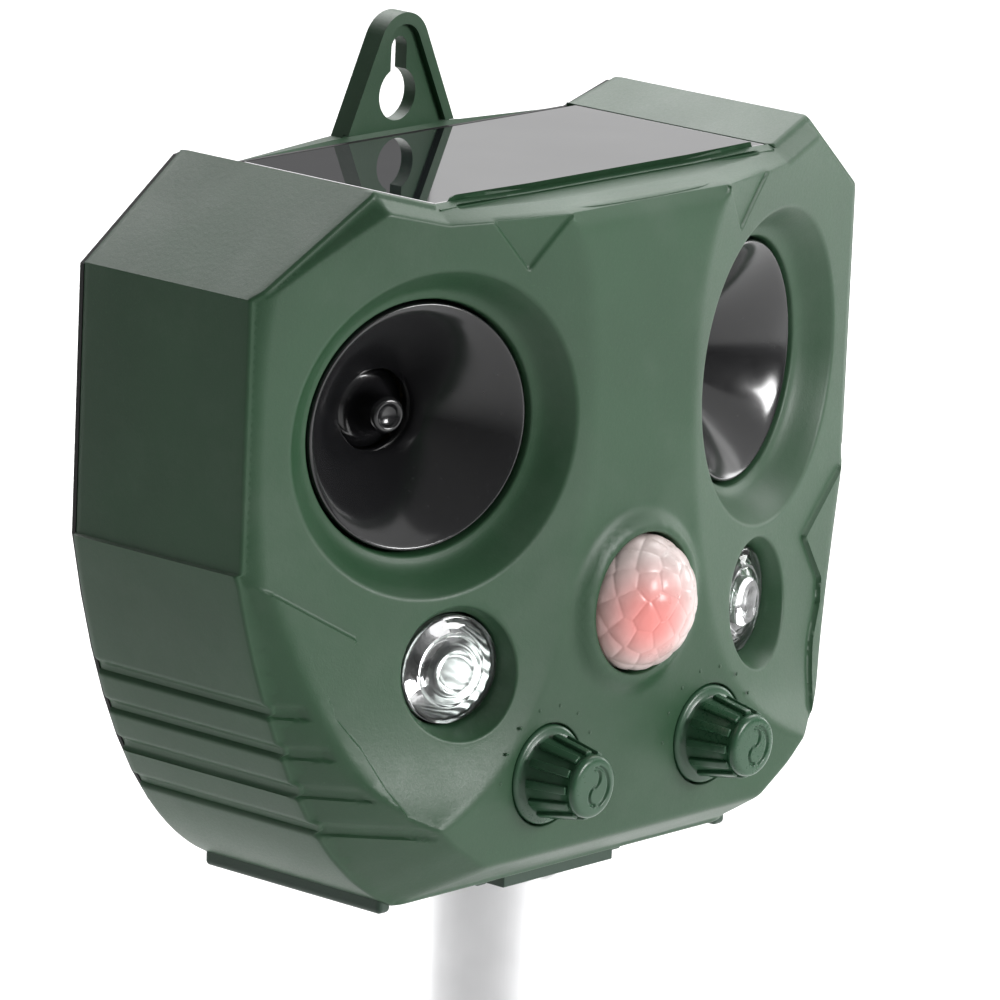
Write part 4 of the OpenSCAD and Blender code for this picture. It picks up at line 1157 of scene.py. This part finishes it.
def knob(node, body, sign):
    """A dial: flange, tapered grip with thin ribs, and a face with a curled pointer groove."""
    put = facing(sign * KNOB_X, -BODY_D, KNOB_Z, 0)
    low, top = -1.7, KNOB_H
    flange = [(0, low), (KNOB_FLANGE_R - 0.3, low), (KNOB_FLANGE_R, low + 0.3), (KNOB_FLANGE_R, low + 1.5),
              (KNOB_FLANGE_R - 0.2, low + 1.85), (KNOB_FLANGE_R - 0.6, low + 2.0), (KNOB_R + 0.35, low + 2.1),
              (KNOB_R - 0.15, low + 2.4)]
    grip_h = top - 1.6 - low - 2.6
    grip = [(KNOB_R - 0.25 + (KNOB_TIP_R - KNOB_R) * t, low + 2.6 + grip_h * t) for t in np.linspace(0, 1, 6)]
    crown = fillet((KNOB_TIP_R + 0.05, top - 0.05), (KNOB_TIP_R - 0.15, top - 2.0), (0, top), 1.35, 7)
    face = [(r, top - 0.02) for r in np.linspace(3.8, 0.15, 30)]
    profile = flange + grip + crown + face + [(0, top - 0.02)]
    turns = 160
    points, faces = lathe(profile, turns, False)
    flat = points[:, 2] > top - 0.35
    flat &= np.hypot(points[:, 0], points[:, 1]) < 4.3
    bend = np.linspace(math.pi / 2, -math.pi / 2, 24)
    curl_x, curl_z, rim_r = 1.25, 1.55, 3.35
    curl = [(curl_x * math.cos(a), curl_z + curl_z * math.sin(a)) for a in bend]
    curl += [(-curl_x * math.cos(a), curl_z * math.sin(a) - curl_z) for a in bend]
    rim = [(rim_r * math.cos(a), rim_r * math.sin(a)) for a in np.linspace(-1.2, 1.25, 30)]
    x, z = points[:, 0], points[:, 1]
    away = np.minimum(line_distance(x, z, curl), line_distance(x, z, rim))
    points[:, 2] -= np.where(flat, 0.42 * (1 - step(away, 0.16, 0.42)), 0)
    dial = placed(node + "_dial", points, faces, put, "knob_green", node, body)
    lean = math.atan2(KNOB_R - KNOB_TIP_R, grip_h)
    middle_r = (KNOB_R + KNOB_TIP_R) / 2 - 0.12
    ribs = ribs_round(node + "_ribs_tree", "knob_green", 12, middle_r, (1.4, 0.95, 7.6), -lean)
    ribs = moved(ribs, lambda p: in_place(put(p + np.array([0, 0, 5.0]))))
    grips = dress(node + "_ribs", ribs, body, "knob_green", False)
    rounded(grips, 0.22, limit_method="ANGLE")
    sharp_by_angle(grips.data, 60)
    return dial, grips


def dial_marks(sign):
    """The raised pips round a dial on the housing."""
    put = facing(sign * KNOB_X, -BODY_D, KNOB_Z, 0)
    marks = dots_round("marks_tree", "housing_green", 7, 11.6, 0.34, math.radians(28), math.radians(150))
    mesh = moved(marks, lambda p: in_place(put(p)))
    return dress("dial_marks_left" if sign < 0 else "dial_marks_right", mesh, "head", "housing_green")


def bar(name, low, high, r, slot, replaced=()):
    """A moulded bar with every edge rounded, between two corners in head millimetres."""
    build = bmesh.new()
    bmesh.ops.create_cube(build, size=1)
    middle = [(a + b) / 2 for a, b in zip(low, high)]
    for v in build.verts:
        v.co = Vector([m + c * (b - a) for m, c, a, b in zip(middle, v.co, low, high)])
        v.co = Vector(in_place([tuple(v.co)])[0])
    mesh = bpy.data.meshes.new(name)
    build.to_mesh(mesh)
    build.free()
    obj = dress(name, mesh, "head", slot, False, replaced)
    rounded(obj, r, 7)


def solar_panel():
    """The glass of the solar panel, with ground edges."""
    gap = 0.35
    low = (-PANEL_X + gap, PANEL_FRONT + gap, PANEL_Z - 2.0)
    high = (PANEL_X - gap, PANEL_BACK - gap, PANEL_Z - 0.02)
    bar("panel_sheet", low, high, 0.25, "panel_glass", ("solar_glass",))


def tube():
    """The drawn aluminium tube, with its two ends turned over slightly."""
    low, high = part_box("stake_tube")
    radius = (high.x - low.x) / 2
    bottom, top = low.z, high.z
    r, t = radius, 0.001
    profile = [(r - t, bottom), (r - 0.0003, bottom), (r, bottom + 0.0003)]
    profile += [(r, z) for z in np.linspace(bottom + 0.002, top - 0.002, 6)]
    profile += [(r, top - 0.0003), (r - 0.0003, top), (r - t, top)]
    points, faces = lathe(profile, 128)
    points, faces = outward(points, faces)
    return piece("stake_tube_drawn", points, faces, "stake", "tube_aluminium", replaced=("stake_tube",))


def feet():
    """Two long feet and the two guide rails under the housing."""
    for side, s in SIDES.items():
        low, high = sorted((s * 41.0, s * 44.0))
        bar(side + "_foot", (low, -41.4, -6.9), (high, -1.5, -3.0), 0.9, "bracket_green")
        low, high = sorted((s * 15.8, s * 18.2))
        bar(side + "_rail", (low, -40.0, -7.0), (high, -1.0, -4.5), 0.35, "bracket_green")


def keep_cad_finishes():
    """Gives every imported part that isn't replaced its own finish."""
    slots = {part["node"]: part["material_slot"] for part in frame["record"]["subparts"]}
    for name, obj in frame["nodes"].items():
        obj.data.materials.clear()
        obj.data.materials.append(FINISHES[slots[name]])


# ---------------------------------------------------------------- the view

VIEW_TURN = math.radians(48.759)


def camera():
    """A long lens from the front left, a little above the head."""
    turn, lift, roll = VIEW_TURN, math.radians(13.4), math.radians(2.447)
    back = Vector((-math.sin(turn) * math.cos(lift), -math.cos(turn) * math.cos(lift), math.sin(lift)))
    right = Vector((math.cos(turn), -math.sin(turn), 0))
    up = Vector((math.sin(lift) * math.sin(turn), math.sin(lift) * math.cos(turn), math.cos(lift)))
    data = bpy.data.cameras.new("camera")
    data.sensor_width = 36
    data.lens = 312.576
    data.clip_start, data.clip_end = 0.05, 60
    obj = linked("camera", data)
    tilted_right = right * math.cos(roll) + up * math.sin(roll)
    tilted_up = up * math.cos(roll) - right * math.sin(roll)
    across, rise, distance = 19.087, 48.525, 1485.8
    place = (right * across + up * rise + back * distance) * MM + HEAD
    spin = Matrix((tilted_right, tilted_up, back)).transposed().to_4x4()
    obj.matrix_world = Matrix.Translation(place) @ spin
    bpy.context.scene.camera = obj


def floor():
    """A wide pale sheet just under the spike."""
    f = Finish("pale_floor")
    tone = f.mix(f.noise(3), rgb(0.86, 0.86, 0.86), rgb(0.9, 0.9, 0.9))
    f.surface(Base_Color=tone, Roughness=f.noise(8) * 0.1 + 0.6)
    build = bmesh.new()
    bmesh.ops.create_grid(build, x_segments=4, y_segments=4, size=8)
    for v in build.verts:
        v.co.z = CAD_BOX[0].z - 0.0005
    mesh = bpy.data.meshes.new("floor")
    build.to_mesh(mesh)
    build.free()
    mesh.materials.append(f.material)
    obj = linked("floor", mesh)


def area_light(name, size, power):
    """A flat square light."""
    data = bpy.data.lights.new(name, "AREA")
    data.shape = "RECTANGLE"
    data.size, data.size_y = size
    data.energy = power
    return linked(name, data)


def softbox(name, azimuth, elevation, distance, size, power):
    """A square studio light that faces the head."""
    a, e = math.radians(azimuth), math.radians(elevation)
    toward = Vector((math.sin(a) * math.cos(e), -math.cos(a) * math.cos(e), math.sin(e)))
    obj = area_light(name, size, power)
    obj.location = HEAD + Vector((0, 0, 0.05)) + toward * distance
    obj.rotation_mode = "QUATERNION"
    obj.rotation_quaternion = toward.to_track_quat("Z", "Y")


def flood(name, behind, height, size, power):
    """A wide light that hangs behind the head, seen from the camera, and whitens the floor there."""
    obj = area_light(name, size, power)
    obj.location = (behind * math.sin(VIEW_TURN), behind * math.cos(VIEW_TURN), height)
    obj.rotation_euler = (0, 0, -VIEW_TURN)


def studio():
    """Soft studio light, with a bright sheet of floor behind the head."""
    world = bpy.data.worlds.new("studio")
    world.use_nodes = True
    tree = world.node_tree
    back = tree.nodes["Background"]
    back.inputs["Strength"].default_value = 1.0
    way = tree.nodes.new("ShaderNodeTexCoord")
    split = tree.nodes.new("ShaderNodeSeparateXYZ")
    sky = tree.nodes.new("ShaderNodeValToRGB")
    tree.links.new(way.outputs["Generated"], split.inputs[0])
    tree.links.new(split.outputs["Z"], sky.inputs["Fac"])
    tree.links.new(sky.outputs["Color"], back.inputs["Color"])
    for element, (position, level) in zip(sky.color_ramp.elements, ((0.02, 0.15), (0.7, 0.26))):
        element.position = position
        element.color = (level, level, level, 1)
    bpy.context.scene.world = world
    softbox("back_high", 158, 44, 1.5, (1.3, 0.8), 4.5)
    softbox("back_low", 116, 13, 1.66, (0.9, 0.6), 0.9)
    softbox("key_right", 47, 32, 1.55, (1.7, 1.4), 5.2)
    softbox("right_tall", 82, 30, 1.5, (0.5, 1.3), 3.2)
    softbox("right_low", 79, 6, 1.6, (0.4, 0.4), 3.2)
    softbox("front_low", 17, 17, 1.6, (0.5, 0.4), 17)
    flood("floor_flood", 1.35, 1.1, (1.8, 2.0), 38)
    bpy.context.scene.view_settings.view_transform = "Standard"


def build():
    """Makes every piece, then the view and the light."""
    keep_cad_finishes()
    front_shell()
    for side in SIDES:
        horn(side)
        horn_plug(side)
        lamp(side)
    sensor_dome()
    knob("frequency_knob", "frequency_dial", -1)
    knob("sensitivity_knob", "sensitivity_dial", 1)
    dial_marks(-1)
    dial_marks(1)
    solar_panel()
    feet()
    tube()
    softened("rear_cover", "head", "housing_green", 0.5, shape=tapered_rim)
    softened("battery_door", "head", "housing_green", 0.4)
    softened("charge_cover", "charge_flap", "seal_rubber", 0.25)
    softened("stake_bracket", "stake", "bracket_green", 0.5)
    softened("ground_spike", "stake", "bracket_green", 0.4)
    camera()
    floor()
    studio()


build()
